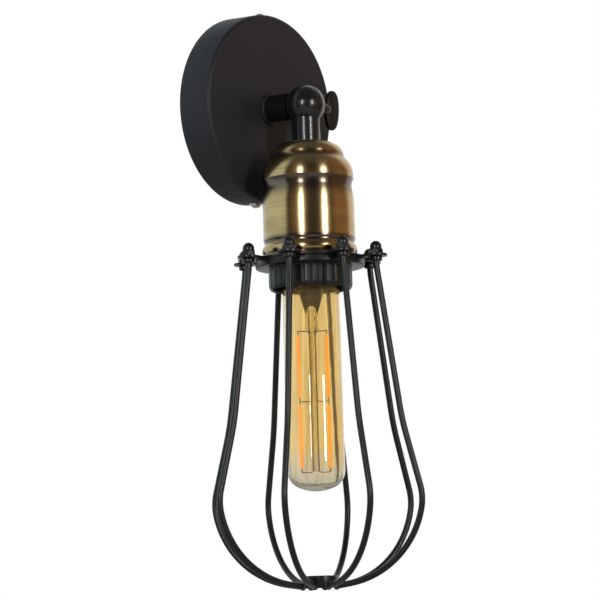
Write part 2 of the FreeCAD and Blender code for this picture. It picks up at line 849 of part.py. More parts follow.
def brass_barrel():
    """The turned lower shell: a neck in the cap, a waist, a bead and a flared foot."""
    body = revolved([
        ("barrel_inner_radius", drop("barrel_neck_top")),
        ("barrel_inner_radius", drop("flare_top - 1")),
        ("barrel_mouth_radius - 0.4", drop("flare_drop"), "14", -1),
        ("barrel_mouth_radius", drop("barrel_drop")),
        ("flange_radius", drop("barrel_drop")),
        ("flare_radius", drop("flare_drop")),
        ("lower_radius", drop("flare_top"), "14", 1),
        ("line_radius", drop("flare_top - 0.1")),
        ("line_radius", drop("bead_bottom + 0.2")),
        ("bead_radius", drop("bead_bottom")),
        ("bead_radius", drop("line_drop + line_height"), "bead_bottom - line_drop", 1),
        ("line_radius", drop("line_drop + line_height")),
        ("line_radius", drop("line_drop")),
        ("lower_radius", drop("line_drop")),
        ("lower_radius", drop("lower_drop")),
        ("waist_radius", drop("waist_drop"), "lower_bend", 1),
        ("lip_radius", drop("cap_height + running_gap"), "lip_bend", -1),
        ("cap_thread_radius - running_gap", drop("cap_height + running_gap")),
        ("cap_thread_radius - running_gap", drop("barrel_neck_top")),
    ])
    return piece("brass_barrel", body, lamp_frame())


def holder_nipple():
    """A threaded tube from the neck's bore, through the brass cap, to its nut."""
    length = "nipple_grip + cap_wall + nipple_tail"
    start = drop("cap_wall + nipple_tail")
    tube = cylinder("nipple_diameter / 2", length, ("0", "0", start))
    bore = cylinder("nipple_bore / 2", f"{length} + 2", ("0", "0", f"{start} - 1"))
    return piece("holder_nipple", cut(tube, bore), lamp_frame())


def holder_core():
    """The moulded body: a floor, a bore for the screw shell and a thread for the shade ring."""
    bore = "shell_radius + running_gap"
    thread_end = "barrel_drop + core_thread_length"
    body = revolved([
        ("0", drop("core_top_drop")),
        ("0", drop("core_floor_drop")),
        (bore, drop("core_floor_drop")),
        (bore, drop(thread_end)),
        ("core_thread_radius - 0.6", drop(thread_end)),
        ("core_thread_radius", drop(f"{thread_end} - 0.6")),
        ("core_thread_radius", drop("barrel_drop")),
        ("core_shoulder_radius", drop("barrel_drop")),
        ("core_shoulder_radius", drop("barrel_drop - core_shoulder + 0.8")),
        ("core_radius", drop("barrel_drop - core_shoulder - 2")),
        ("core_radius", drop("core_top_drop")),
    ])
    wells = new_sketch(body, "XY_Plane", drop("core_top_drop"))
    for side in ("", "-"):
        middle = f"{side}post_offset"
        rectangle(wells, f"{middle} - post_depth / 2 - running_gap", "-post_width / 2 - running_gap",
                  f"{middle} + post_depth / 2 + running_gap", "post_width / 2 + running_gap")
    pocket(body, wells, "post_height / 2")
    return piece("holder_core", body, lamp_frame())


def holder_terminals():
    """Two brass posts in the core's wells, bored for the leads and tapped for their screws."""
    posts = []
    base = drop("core_top_drop + post_height / 2")
    for side in ("", "-"):
        middle = f"{side}post_offset"
        post = block("post_depth", "post_width", "post_height",
                     (f"{middle} - post_depth / 2", "-post_width / 2", base))
        hole = cylinder("wire_hole / 2", "post_width + 2",
                        (middle, "-post_width / 2 - 1", f"{base} + post_height * 0.72"), "Y")
        posts.append(cut(post, hole))
    return piece("holder_terminals", group(posts), lamp_frame())


def holder_terminal_screws():
    """The clamping screws, each with its head on the outer side of its post."""
    screws = []
    height = drop("core_top_drop + post_height / 2 - post_height * 0.72")
    for start in ("post_offset + post_depth / 2", "-post_offset - post_depth / 2 - post_screw_head"):
        screws.append(cylinder("post_screw_diameter / 2", "post_screw_head",
                               (start, "0", height), "X"))
    return piece("holder_terminal_screws", group(screws), lamp_frame())


def screw_shell():
    """The thin sleeve that takes the bulb's thread."""
    low = drop("barrel_drop + core_thread_length - shell_inset")
    tube = cylinder("shell_radius", "shell_length", ("0", "0", low))
    bore = cylinder("shell_radius - shell_wall", "shell_length + 2", ("0", "0", f"{low} - 1"))
    return piece("screw_shell", cut(tube, bore), lamp_frame())


def centre_contact():
    """A bent tongue on the core's floor that presses on the bulb's tip."""
    body = new_body()
    side = new_sketch(body, "XZ_Plane", "-tongue_width / 2")
    floor = drop("core_floor_drop")
    foot = "tongue_length / 2"
    thick = "tongue_thickness"
    outline(side, [
        (f"-({foot})", floor),
        (f"-({foot})", f"{floor} - {thick}"),
        (f"-({foot}) + 5", f"{floor} - {thick}"),
        ("-2.5", f"{floor} - tongue_rise"),
        ("2.5", f"{floor} - tongue_rise"),
        (f"{foot} - 5", f"{floor} - {thick} - 0.6"),
        (f"{foot} - 5", f"{floor} - 0.6"),
        ("2.3", f"{floor} - tongue_rise + {thick}"),
        ("-2.3", f"{floor} - tongue_rise + {thick}"),
        (f"-({foot}) + 5.2", floor),
    ])
    pad(body, side, "tongue_width")
    return piece("centre_contact", body, lamp_frame())


def shade_ring():
    """The moulded ring that clamps the cage: a flange, a grooved skirt and an inner thread."""
    top = "barrel_drop + cage_plate_thickness"
    foot = f"{top} + ring_height"
    body = revolved([
        ("core_thread_radius + running_gap", drop(top)),
        ("core_thread_radius + running_gap", drop(f"{foot} - 0.8")),
        ("core_thread_radius + running_gap + 0.8", drop(foot)),
        ("ring_skirt_radius - ring_chamfer / 2", drop(foot)),
        ("ring_skirt_radius", drop(f"{foot} - ring_chamfer")),
        ("ring_skirt_radius", drop(f"{top} + ring_flange_height")),
        ("ring_flange_radius - 0.5", drop(f"{top} + ring_flange_height")),
        ("ring_flange_radius", drop(f"{top} + ring_flange_height - 0.5")),
        ("ring_flange_radius", drop(f"{top} + 0.5")),
        ("ring_flange_radius - 0.5", drop(top)),
    ])
    grip = new_sketch(body, "XY_Plane", drop(f"{top} + ring_flange_height + 0.8"))
    circle(grip, "ring_skirt_radius + ring_grip_radius / 3", "0", "ring_grip_radius")
    notch = pocket(body, grip, "ring_height")
    polar(body, notch, "ring_grip_count")
    return piece("shade_ring", body, lamp_frame())


# ---------------------------------------------------------------- the cage

def first_ear():
    """Half an ear's pitch, so that no rib faces the wall."""
    return number("180 / ear_count")


def ear_turns():
    """The turn about the lamp's axis of each ear and its rib."""
    count = int(number("ear_count"))
    return [first_ear() + 360 * i / count for i in range(count)]


def cage_plate():
    """A thin ring clamped by the shade ring, with a necked round ear for each rib."""
    body = new_body()
    low = drop("barrel_drop + cage_plate_thickness")
    ring = new_sketch(body, "XY_Plane", low)
    circle(ring, "0", "0", "cage_plate_radius")
    pad(body, ring, "cage_plate_thickness")
    ear = new_sketch(body, "XY_Plane", low)
    half = "ear_neck / 2"
    reach = "ear_centre - sqrt(ear_radius ^ 2 - ear_neck ^ 2 / 4)"
    root = "sqrt(cage_plate_radius ^ 2 - ear_neck ^ 2 / 4) - 1"
    apex = "ear_centre + ear_radius"
    outline(ear, [
        (root, f"-{half}"),
        (reach, f"-{half}"),
        ("ear_centre", "-ear_radius", "ear_radius", 1),
        (apex, "0", "ear_radius", 1),
        ("ear_centre", "ear_radius", "ear_radius", 1),
        (reach, half, "ear_radius", 1),
        (root, half),
    ])
    polar(body, pad(body, ear, "cage_plate_thickness"), "ear_count")
    centre = new_sketch(body, "XY_Plane", drop("barrel_drop - 1"))
    circle(centre, "0", "0", "core_thread_radius + seat_gap")
    pocket(body, centre, "cage_plate_thickness + 2")
    stud = new_sketch(body, "XY_Plane", drop("barrel_drop - 1"))
    circle(stud, "ear_centre", "0", "stud_diameter / 2 + screw_gap")
    polar(body, pocket(body, stud, "cage_plate_thickness + 2"), "ear_count")
    return piece("cage_plate", body, lamp_frame(first_ear()))


def ear_place(turn, height):
    """A place over an ear, in the lamp's own frame."""
    angle = math.radians(turn)
    reach = number("ear_centre")
    centre = V(reach * math.cos(angle), reach * math.sin(angle), number(height))
    return FreeCAD.Placement(centre, FreeCAD.Rotation(V(0, 0, 1), turn))


def acorn_nuts():
    """A domed nut on each ear: hexagon, barrel and round crown over a blind bore."""
    nuts = []
    for turn in ear_turns():
        straight = "acorn_height - acorn_dome_diameter / 2"
        crown = sphere("acorn_dome_diameter / 2", ("0", "0", straight))
        barrel = cylinder("acorn_dome_diameter / 2", straight)
        seat = hexagon("acorn_flats", "acorn_hex")
        bevel = primitive("Cone", {"Radius1": "acorn_flats / sqrt(3) + 0.4",
                                   "Radius2": "acorn_flats / 2 - 0.2",
                                   "Height": "acorn_hex"})
        trim = fused(bevel, cylinder("acorn_flats / 2", "acorn_hex"))
        bore = cylinder("stud_diameter / 2 + running_gap", "stud_length")
        domed = cut(fused(crown, barrel, common(seat, trim)), bore)
        lower = cut(domed, block("20", "20", "10", ("-10", "-10", "-10")))
        lower.Placement = ear_place(turn, drop("barrel_drop"))
        nuts.append(lower)
    return piece("acorn_nuts", group(nuts), lamp_frame())


def lock_nuts():
    """A low round nut under each ear, between the ear and the rib's shoulder."""
    nuts = []
    for turn in ear_turns():
        disc = cylinder("lock_nut_diameter / 2", "lock_nut_height")
        hole = cylinder("stud_diameter / 2 + running_gap", "lock_nut_height + 2",
                        ("0", "0", "-1"))
        ring = cut(disc, hole)
        low = drop("barrel_drop + cage_plate_thickness + lock_nut_height")
        ring.Placement = ear_place(turn, low)
        nuts.append(ring)
    return piece("lock_nuts", group(nuts), lamp_frame())


def bent_wire(corners, bends):
    """The middle line of a bent wire: straight runs with a tangent arc at each inner corner."""
    edges = []
    last = corners[0]
    for i in range(1, len(corners) - 1):
        back = (corners[i - 1] - corners[i]).normalize()
        ahead = (corners[i + 1] - corners[i]).normalize()
        half = back.getAngle(ahead) / 2
        reach = bends[i - 1] / math.tan(half)
        start = corners[i] + back * reach
        end = corners[i] + ahead * reach
        toward = (back + ahead).normalize()
        middle = corners[i] + toward * (bends[i - 1] * (1 / math.sin(half) - 1))
        edges.append(Part.LineSegment(last, start).toShape())
        edges.append(Part.Arc(start, middle, end).toShape())
        last = end
    edges.append(Part.LineSegment(last, corners[-1]).toShape())
    return Part.Wire(edges)


def swept(wire, radius):
    """A round wire of one radius along a middle line."""
    start = wire.Edges[0].Curve.value(wire.Edges[0].FirstParameter)
    ahead = wire.Edges[0].tangentAt(wire.Edges[0].FirstParameter)
    section = Part.Wire([Part.makeCircle(radius, start, ahead)])
    solid = wire.makePipeShell([section], True, False)
    expected = math.pi * radius ** 2 * wire.Length
    if abs(solid.Volume - expected) > 0.01 * expected:
        raise RuntimeError(f"a swept wire has {solid.Volume:.1f} mm3, not {expected:.1f}")
    return solid


def cage_rib(name, turn):
    """One rib: a stud through the ear, a long flare, the belly, and the bowl in to the ring.

    The wire's shoulder bears on the lock nut, and its lower end is cut to the ring's outside,
    where it is welded.
    """
    plate = number(drop("barrel_drop + cage_plate_thickness"))
    ear = number("ear_centre")
    shoulder = plate - number("lock_nut_height")
    corners = [
        V(ear, 0, shoulder),
        V(ear, 0, shoulder - 2),
        V(number("flare_corner_radius"), 0, plate - number("flare_corner_drop")),
        V(number("belly_corner_radius"), 0, plate - number("belly_corner_drop")),
        V(number("bowl_corner_radius"), 0, plate - number("bowl_corner_drop")),
        V(number("band_radius") - 1, 0, plate - number("rib_end_drop")),
    ]
    bends = [number("shoulder_bend"), number("flare_bend"), number("belly_bend"),
             number("bowl_bend")]
    wire = swept(bent_wire(corners, bends), number("rib_diameter / 2"))
    stud_top = number("stud_length - 0.3 + cage_plate_thickness")
    stud = Part.makeCylinder(number("stud_diameter / 2"), stud_top + number("lock_nut_height"),
                             V(ear, 0, shoulder))
    inside = Part.makeCylinder(number("band_radius"), 40, V(0, 0, plate - number("rib_end_drop") - 20))
    rib = document.addObject("Part::Feature", "Rib")
    rib.Shape = wire.fuse(stud).cut(inside).removeSplitter()
    return piece(name, rib, lamp_frame(turn))


def bottom_ring():
    """The short band that gathers the ribs."""
    low = drop("barrel_drop + cage_plate_thickness + band_drop + band_height")
    tube = cylinder("band_radius", "band_height", ("0", "0", low))
    bore = cylinder("band_radius - band_wall", "band_height + 2", ("0", "0", f"{low} - 1"))
    return piece("bottom_ring", cut(tube, bore), lamp_frame())


# ---------------------------------------------------------------- the bulb

def bulb_glass():
    """A blown tube with a drawn-in neck and a round crown."""
    radius = "glass_radius"
    wall = "glass_wall"
    tip = "-bulb_tip_drop"
    neck = "-bulb_top_drop - base_length - base_cone - contact_height + 1.5"
    straight = f"{neck} - glass_neck_length"
    shoulder = f"{straight} - glass_shoulder"
    corner = "glass_corner"
    rim = f"{tip} + {corner} + 2.6"
    body = revolved([
        ("glass_neck_radius", neck),
        ("glass_neck_radius", straight),
        (radius, shoulder, "14", 1),
        (radius, rim),
        ("glass_radius - 5.2", f"{tip} + 2.2", f"{corner} + 1.2", -1),
        ("0", tip, "glass_crown", -1),
        ("0", f"{tip} + {wall}"),
        ("glass_radius - 5.5", f"{tip} + 2.2 + {wall}", f"glass_crown - {wall}", 1),
        (f"{radius} - {wall}", rim, f"{corner} + 1.2 - {wall}", 1),
        (f"{radius} - {wall}", shoulder),
        (f"glass_neck_radius - {wall}", straight, "14", -1),
        (f"glass_neck_radius - {wall}", neck),
    ])
    return piece("bulb_glass", body, lamp_frame())


def bulb_base():
    """The bulb's metal screw base, as a closed cup round the glass neck."""
    top = "-bulb_top_drop - contact_height - base_cone"
    low = f"{top} - base_length"
    inner = "glass_neck_radius + running_gap"
    body = revolved([
        ("0", top),
        ("0", f"{top} - 1"),
        ("base_radius - 3", f"{top} - 1"),
        (inner, f"{top} - 4"),
        (inner, low),
        ("base_radius", low),
        ("base_radius", f"{top} - 3"),
        ("base_radius - 2.6", top),
    ])
    return piece("bulb_base", body, lamp_frame())


def bulb_insulator():
    """The black glass cone between the base and its tip contact."""
    low = "-bulb_top_drop - contact_height - base_cone"
    cone = primitive("Cone", {"Radius1": "base_radius - 3", "Radius2": "contact_radius + 1",
                              "Height": "base_cone"}, ("0", "0", low))
    return piece("bulb_insulator", group([cone]), lamp_frame())


def bulb_contact():
    """The round contact at the bulb's tip."""
    low = "-bulb_top_drop - contact_height"
    disc = cylinder("contact_radius", "contact_height", ("0", "0", low))
    return piece("bulb_contact", group([disc]), lamp_frame())


def bulb_stem():
    """The glass stem: a flare in the neck, a pinch, and a long thin rod."""
    top = "-bulb_top_drop - contact_height - base_cone - base_length + 1"
    mouth = "glass_neck_radius - glass_wall - running_gap"
    body = revolved([
        ("0", top),
        ("0", "-bulb_tip_drop + stem_end_rise"),
        ("stem_radius - 0.6", "-bulb_tip_drop + stem_end_rise"),
        ("stem_radius", "-bulb_tip_drop + stem_end_rise + 0.6"),
        ("stem_radius", "-bulb_top_drop - stem_pinch_drop - 3"),
        ("stem_radius + 1.4", "-bulb_top_drop - stem_pinch_drop"),
        ("stem_radius + 1.4", "-bulb_top_drop - stem_pinch_drop + 8"),
        ("stem_flare", f"{top} - 9"),
        ("stem_flare + 1", f"{top} - 3"),
        (mouth, f"{top} - 1.2"),
        (mouth, top),
    ])
    return piece("bulb_stem", body, lamp_frame())


def filament_sticks():
    """Four straight filaments, in two columns beside the stem, each with a pin at both ends."""
    sticks = []
    pin_length = "stick_gap / 2 - hook_diameter / 2 - running_gap"
    for side in ("", "-"):
        for row in (0, 1):
            top = f"-bulb_top_drop - stick_top_drop - {row} * (stick_length + stick_gap)"
            x = f"{side}stick_offset"
            stick = cylinder("stick_diameter / 2", "stick_length",
                             (x, "0", f"{top} - stick_length"))
            pins = cylinder("hook_diameter / 2", f"stick_length + 2 * ({pin_length})",
                            (x, "0", f"{top} - stick_length - ({pin_length})"))
            sticks.append(fused(stick, pins))
    return piece("filament_sticks", group(sticks), lamp_frame(number("stick_turn")))


def support_wires():
    """Thin wires from the stem that carry the ends of the filaments."""
    wires = []
    root = "stem_radius + running_gap"
    reach = "stick_offset + hook_diameter"
    for row in (0, 1, 2):
        height = ("-bulb_top_drop - stick_top_drop + stick_gap / 2"
                  f" - {row} * (stick_length + stick_gap)")
        for start in (root, f"-({reach})"):
            wires.append(cylinder("hook_diameter / 2", f"{reach} - ({root})",
                                  (start, "0", height), "X"))
    return piece("support_wires", group(wires), lamp_frame(number("stick_turn")))


# ---------------------------------------------------------------- leads in the wall plate

def lead(label, points, bends):
    """An insulated lead of straight runs and round bends inside the wall plate."""
    wire = bent_wire([V(*point) for point in points], bends)
    feature = document.addObject("Part::Feature", "Lead")
    feature.Shape = swept(wire, number("lead_diameter / 2"))
    return piece(label, feature, plate_frame())


def leads():
    """The live and neutral leads, from the nipple's bore to the block, and the earth lead.

    Each leaves the bore straight, so its first bend has the room under the nipple's end.
    """
    inside = number("plate_depth - plate_wall")
    nipple_end = inside - number("nipple_tail")
    side = number("block_offset - block_width / 2")
    height = number("bracket_thickness + block_height * 0.45")
    pitch = number("block_pitch")
    room = nipple_end - height - number("running_gap")
    bends = [min(number("lead_bend"), room), number("lead_bend")]
    for label, way in (("live_lead", 1), ("neutral_lead", -1)):
        bore = number("lead_spread") * way
        lead(label, [
            (0, bore, inside + 4),
            (0, bore, height),
            (side / 2, pitch * way, height),
            (side + 2, pitch * way, height),
        ], bends)
    spread = number("earth_spread")
    crimp = number("bracket_thickness + earth_washer_thickness + lead_diameter / 2"
                   " + running_gap + crimp_wall")
    end = number("-earth_offset + earth_head_diameter / 2 + seat_gap + 2")
    lead("earth_lead", [
        (-spread, 0, inside + 4),
        (-spread, 0, nipple_end - 3.3),
        (0, -3, crimp),
        (0, end, crimp),
    ], [number("earth_bend")] * 2)


def build():
    """Make every piece, check it and write it."""
    write_sheet()
    wall_plate()
    mounting_bracket()
    side_screws()
    terminal_block()
    terminal_screws()
    fixing_screw()
    earth_screw()
    earth_tag()
    washer("earth_washer", "earth_washer_diameter / 2", "earth_screw_diameter / 2 + running_gap",
           "earth_washer_thickness", ("0", "-earth_offset", "bracket_thickness"), plate_frame())
    leads()
    washer("arm_washer", "arm_washer_diameter / 2", "nipple_diameter / 2 + running_gap",
           "arm_washer_thickness", ("0", "0", "plate_depth"), plate_frame())
    arm_nipple()
    washer("arm_lock_washer", "lock_washer_diameter / 2", "nipple_diameter / 2 + running_gap",
           "lock_washer_thickness",
           ("0", "0", "plate_depth - plate_wall - lock_washer_thickness"), plate_frame())
    nut("arm_nut", "plate_depth - plate_wall - lock_washer_thickness", plate_frame())
    arm_knuckle()
    washer("friction_washer", "friction_washer_diameter / 2",
           "thumb_diameter / 2 + running_gap + 0.2", "split_gap - washer_gap",
           ("-split_gap / 2 + washer_gap", "0", "0"), ball_frame(), "X")
    washer("spring_washer", "spring_washer_diameter / 2", "thumb_diameter / 2 + running_gap",
           "spring_washer_thickness", ("spot_face_height", "0", "0"), ball_frame(), "X")
    thumb_screw()
    lamp_knuckle()
    holder_nipple()
    nut("holder_nut", drop("cap_wall"), lamp_frame())
    brass_cap()
    brass_barrel()
    holder_core()
    holder_terminals()
    holder_terminal_screws()
    screw_shell()
    centre_contact()
    shade_ring()
    cage_plate()
    acorn_nuts()
    lock_nuts()
    for i, turn in enumerate(ear_turns(), 1):
        cage_rib(f"cage_rib_{i}", turn)
    bottom_ring()
    bulb_glass()
    bulb_base()
    bulb_insulator()
    bulb_contact()
    bulb_stem()
    filament_sticks()
    support_wires()
    document.recompute()
    check()
    write()


def check():
    """Stop before writing if any object failed or any piece isn't sound."""
    for item in document.Objects:
        if "Invalid" in item.State or "Error" in item.State:
            raise RuntimeError(f"{item.Name} ({item.Label}) failed: {item.State}")
    for item in PIECES:
        if item.Shape.isNull() or not item.Shape.isValid():
            raise RuntimeError(f"{item.Label} has no sound shape")


def write():
    """Write each piece to a file under its name, and print its size."""
    os.makedirs("parts", exist_ok=True)
    for item in PIECES:
        item.Shape.exportStep(f"parts/{item.Label}.step")
        box = item.Shape.BoundBox
        print(f"{item.Label:24s} {len(item.Shape.Solids)} solids {item.Shape.Volume:10.1f} mm3 "
              f"x {box.XMin:.1f}..{box.XMax:.1f} y {box.YMin:.1f}..{box.YMax:.1f} "
              f"z {box.ZMin:.1f}..{box.ZMax:.1f}")


build()
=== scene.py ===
"""The looks of a cage wall light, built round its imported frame.

Lengths inside the classes are in millimetres, as on a maker's drawing. Each piece is a surface
worked out on a grid, set in one of three frames, and written to its mesh in metres.
"""

import logging
import math
from dataclasses import dataclass, replace
from enum import Enum
from typing import Callable

import bpy
import numpy as np
from mathutils import Matrix, Vector


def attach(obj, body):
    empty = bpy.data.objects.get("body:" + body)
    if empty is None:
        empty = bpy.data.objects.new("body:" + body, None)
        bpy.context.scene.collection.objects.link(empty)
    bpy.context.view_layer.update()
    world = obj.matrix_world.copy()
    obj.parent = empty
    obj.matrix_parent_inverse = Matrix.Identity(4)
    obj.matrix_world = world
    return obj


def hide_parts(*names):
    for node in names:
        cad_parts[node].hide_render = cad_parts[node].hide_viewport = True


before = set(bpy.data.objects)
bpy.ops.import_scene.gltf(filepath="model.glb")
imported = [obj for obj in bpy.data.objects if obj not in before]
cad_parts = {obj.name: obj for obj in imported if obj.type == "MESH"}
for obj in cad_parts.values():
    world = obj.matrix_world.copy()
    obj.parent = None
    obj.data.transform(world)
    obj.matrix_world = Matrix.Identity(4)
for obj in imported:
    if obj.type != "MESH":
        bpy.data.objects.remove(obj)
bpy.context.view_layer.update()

logging.basicConfig(level=logging.INFO, format="%(message)s")
log = logging.getLogger("cage wall light")

Array = np.ndarray
Ripple = Callable[[Array, Array, Array], Array]

MM = 0.001
FULL_TURN = 2 * math.pi


# ---------------------------------------------------------------- frames


def turn(axis: str, degrees: float) -> Array:
    """A 4x4 turn about one axis by the right-hand rule."""
    return np.array(Matrix.Rotation(math.radians(degrees), 4, axis))


def shift(x: float, y: float, z: float) -> Array:
    """A 4x4 move."""
    return np.array(Matrix.Translation((x, y, z)))


BALL_REACH = 43.3
LAMP_TILT = 3.6
ON_WALL = turn("X", 90)
AT_BALL = shift(0, -BALL_REACH, 0)
ON_LAMP = AT_BALL @ turn("X", -LAMP_TILT)


class Body(Enum):
    """The frame's bodies that new pieces ride on."""

    WALL = "wall_part"
    WASHER = "spring_washer"
    THUMB = "thumb_screw"
    LAMP = "lamp"
    BULB = "bulb"


# ---------------------------------------------------------------- surfaces


@dataclass
class Surface:
    """Points with four-cornered and three-cornered faces, and the place of each corner on a map.

    A closed surface faces outwards.
    """

    points: Array
    quads: Array
    tris: Array
    quad_map: Array
    tri_map: Array

    @staticmethod
    def on_grid(points: Array, loop_rows: bool = False, loop_columns: bool = True) -> "Surface":
        """The faces between neighbours on a grid of points.

        Points that share a place become one, and a face that loses a side so becomes a
        triangle, which closes seams and poles.

        Args:
            points: an array of rows x columns x 3.
            loop_rows: whether the last row joins the first.
            loop_columns: whether the last column joins the first.

        Returns:
            The surface.
        """
        rows, columns = points.shape[:2]
        i = np.arange(rows if loop_rows else rows - 1)[:, None]
        j = np.arange(columns if loop_columns else columns - 1)[None, :]
        corners = [(i, j), (i, j + 1), (i + 1, j + 1), (i + 1, j)]
        quads = np.stack([(a % rows) * columns + b % columns for a, b in corners], -1)
        spread = np.linalg.norm(np.diff(points, axis=0), axis=2).max(1)
        along = np.append(0, np.cumsum(spread))
        along = np.append(along, along[-1] + np.linalg.norm(points[-1] - points[0], axis=1).max())
        maps = np.stack(
            [np.stack(np.broadcast_arrays(b / columns, along[a] * 0.01), -1) for a, b in corners],
            -2,
        )
        return Surface.welded(points.reshape(-1, 3), quads.reshape(-1, 4), maps.reshape(-1, 4, 2))

    @staticmethod
    def welded(points: Array, quads: Array, maps: Array) -> "Surface":
        """Points that share a place made one, and faces that lose a side made triangles."""
        _, first, same = np.unique(
            np.round(points, 5), axis=0, return_index=True, return_inverse=True
        )
        quads = same.reshape(-1)[quads]
        kept = quads != np.roll(quads, -1, axis=1)
        sides = kept.sum(1)
        three = sides == 3
        surface = Surface(
            points[first],
            quads[sides == 4],
            quads[three][kept[three]].reshape(-1, 3),
            maps[sides == 4],
            maps[three][kept[three]].reshape(-1, 3, 2),
        )
        return surface.flipped() if surface.volume() < 0 else surface

    def volume(self) -> float:
        """The volume inside: the sum of a . (b x c) / 6 over the triangles of the faces."""
        fan = np.concatenate([self.tris, self.quads[:, [0, 1, 2]], self.quads[:, [0, 2, 3]]])
        a, b, c = (self.points[fan[:, k]] for k in range(3))
        return float((a * np.cross(b, c)).sum() / 6)

    def flipped(self) -> "Surface":
        """The same surface, inside out."""
        return Surface(
            self.points,
            self.quads[:, ::-1],
            self.tris[:, ::-1],
            self.quad_map[:, ::-1],
            self.tri_map[:, ::-1],
        )

    def faced_up(self) -> "Surface":
        """An open flat surface turned so that its faces look along +z."""
        faces = np.concatenate([self.quads[:, :3], self.tris])
        a, b, c = (self.points[faces[:, k]] for k in range(3))
        return self if np.cross(b - a, c - a)[:, 2].sum() > 0 else self.flipped()

    def placed(self, frame_matrix: Array) -> "Surface":
        """The surface set in a frame: P' = M P."""
        moved = self.points @ frame_matrix[:3, :3].T + frame_matrix[:3, 3]
        return replace(self, points=moved)

    @staticmethod
    def joined(parts: "list[Surface]") -> "Surface":
        """Several surfaces as one mesh."""
        starts = np.cumsum([0] + [len(part.points) for part in parts[:-1]])
        return Surface(
            np.concatenate([part.points for part in parts]),
            np.concatenate([part.quads + at for part, at in zip(parts, starts)]),
            np.concatenate([part.tris + at for part, at in zip(parts, starts)]),
            np.concatenate([part.quad_map for part in parts]),
            np.concatenate([part.tri_map for part in parts]),
        )

    def mesh(self, name: str, crease: float) -> bpy.types.Mesh:
        """The surface as a mesh in metres, smooth but for edges sharper than the crease.

        Args:
            name: the mesh's name.
            crease: the angle between faces, in degrees, from which an edge stays sharp.

        Returns:
            The mesh.
        """
        mesh = bpy.data.meshes.new(name)
        faces = self.quads.tolist() + self.tris.tolist()
        mesh.from_pydata((self.points * MM).tolist(), [], faces)
        layer = mesh.uv_layers.new(name="surface")
        places = np.concatenate([self.quad_map.reshape(-1, 2), self.tri_map.reshape(-1, 2)])
        layer.data.foreach_set("uv", places.astype(np.float32).ravel())
        mesh.shade_smooth()
        mesh.set_sharp_from_angle(angle=math.radians(crease))
        mesh.validate()
        mesh.update()
        return mesh


def tangent_arcs(start: Array, middle: Array, end: Array, half: Array, steps: int) -> Array:
    """Arcs that touch both sides of a corner: rows of points, one row a corner.

    The points are ((1 - t)^2 A + 2 t (1 - t) w B + t^2 C) / ((1 - t)^2 + 2 t (1 - t) w + t^2),
    with w the sine of the corner's half angle.
    """
    t = np.linspace(0, 1, steps)[None, :, None]
    start, middle, end = start[:, None], middle[:, None], end[:, None]
    weight = np.sin(half)[:, None]
    sums = (1 - t) ** 2 + 2 * t * (1 - t) * weight + t**2
    return ((1 - t) ** 2 * start + 2 * t * (1 - t) * weight * middle + t**2 * end) / sums


def rounded(corners: Array, radii: Array, steps: int = 5, closed: bool = False) -> Array:
    """A run of straight lines with a tangent arc at each corner.

    At a corner B with unit directions u and v to its neighbours and half angle h, the arc
    starts at A = B + u r / tan h and ends at C = B + v r / tan h.

    Args:
        corners: an array of n x dimensions.
        radii: the radius at each corner, shortened where its neighbours leave less room.
        steps: the number of points on each arc.
        closed: whether the last corner joins the first.

    Returns:
        The points along the line.
    """
    before, after = np.roll(corners, 1, 0), np.roll(corners, -1, 0)
    back, ahead = before - corners, after - corners
    back_length = np.linalg.norm(back, axis=1, keepdims=True)
    ahead_length = np.linalg.norm(ahead, axis=1, keepdims=True)
    u, v = back / back_length, ahead / ahead_length
    half = np.arccos(np.clip((u * v).sum(1, keepdims=True), -1, 1)) / 2
    room = np.minimum(back_length, ahead_length) * 0.499
    reach = np.minimum(np.asarray(radii, float)[:, None] / np.tan(np.maximum(half, 1e-6)), room)
    arcs = tangent_arcs(corners + u * reach, corners, corners + v * reach, half, steps)
    if not closed:
        arcs[0], arcs[-1] = corners[0], corners[-1]
    line = arcs.reshape(-1, corners.shape[1])
    moved = np.linalg.norm(line - np.roll(line, 1, 0), axis=1) > 1e-5
    return line[moved]


class Profile:
    """Half of a turned piece's section: its radius and height along a line."""

    def __init__(self, radius: float, height: float, edge: float = 0.0) -> None:
        """Start at a corner, rounded by the edge radius if the line closes."""
        self.corners = [np.array([[radius, height]])]
        self.edges = [np.array([edge])]

    def line(self, radius: float, height: float, edge: float = 0.0) -> "Profile":
        """Go straight to a corner, which is rounded by the edge radius."""
        self.corners.append(np.array([[radius, height]]))
        self.edges.append(np.array([edge]))
        return self

    def bow(self, radius: float, height: float, bend: float, steps: int = 14) -> "Profile":
        """Go to a corner on an arc.

        The arc's centre stands off the chord's middle by sqrt(bend^2 - (chord / 2)^2), on the
        left of the way if bend is positive. P(t) = C + R (cos a(t), sin a(t)).

        Args:
            radius: the corner's radius.
            height: the corner's height.
            bend: the arc's radius, signed.
            steps: the number of chords along it.

        Returns:
            The profile itself.
        """
        a, b = self.corners[-1][-1], np.array([radius, height])
        chord = b - a
        length = np.linalg.norm(chord)
        off = math.sqrt(max(bend**2 - length**2 / 4, 0)) * math.copysign(1, bend)
        centre = (a + b) / 2 + off * np.array([-chord[1], chord[0]]) / length
        start, end = a - centre, b - centre
        sweep = math.atan2(start[0] * end[1] - start[1] * end[0], start @ end)
        angles = math.atan2(start[1], start[0]) + np.linspace(0, sweep, steps + 1)[1:]
        circle = np.stack([np.cos(angles), np.sin(angles)], 1)
        self.corners.append(centre + abs(bend) * circle)
        self.edges.append(np.zeros(steps))
        return self

    def points(self, closed: bool = True, steps: int = 5) -> Array:
        """The points along the line, with its corners rounded."""
        return rounded(np.concatenate(self.corners), np.concatenate(self.edges), steps, closed)


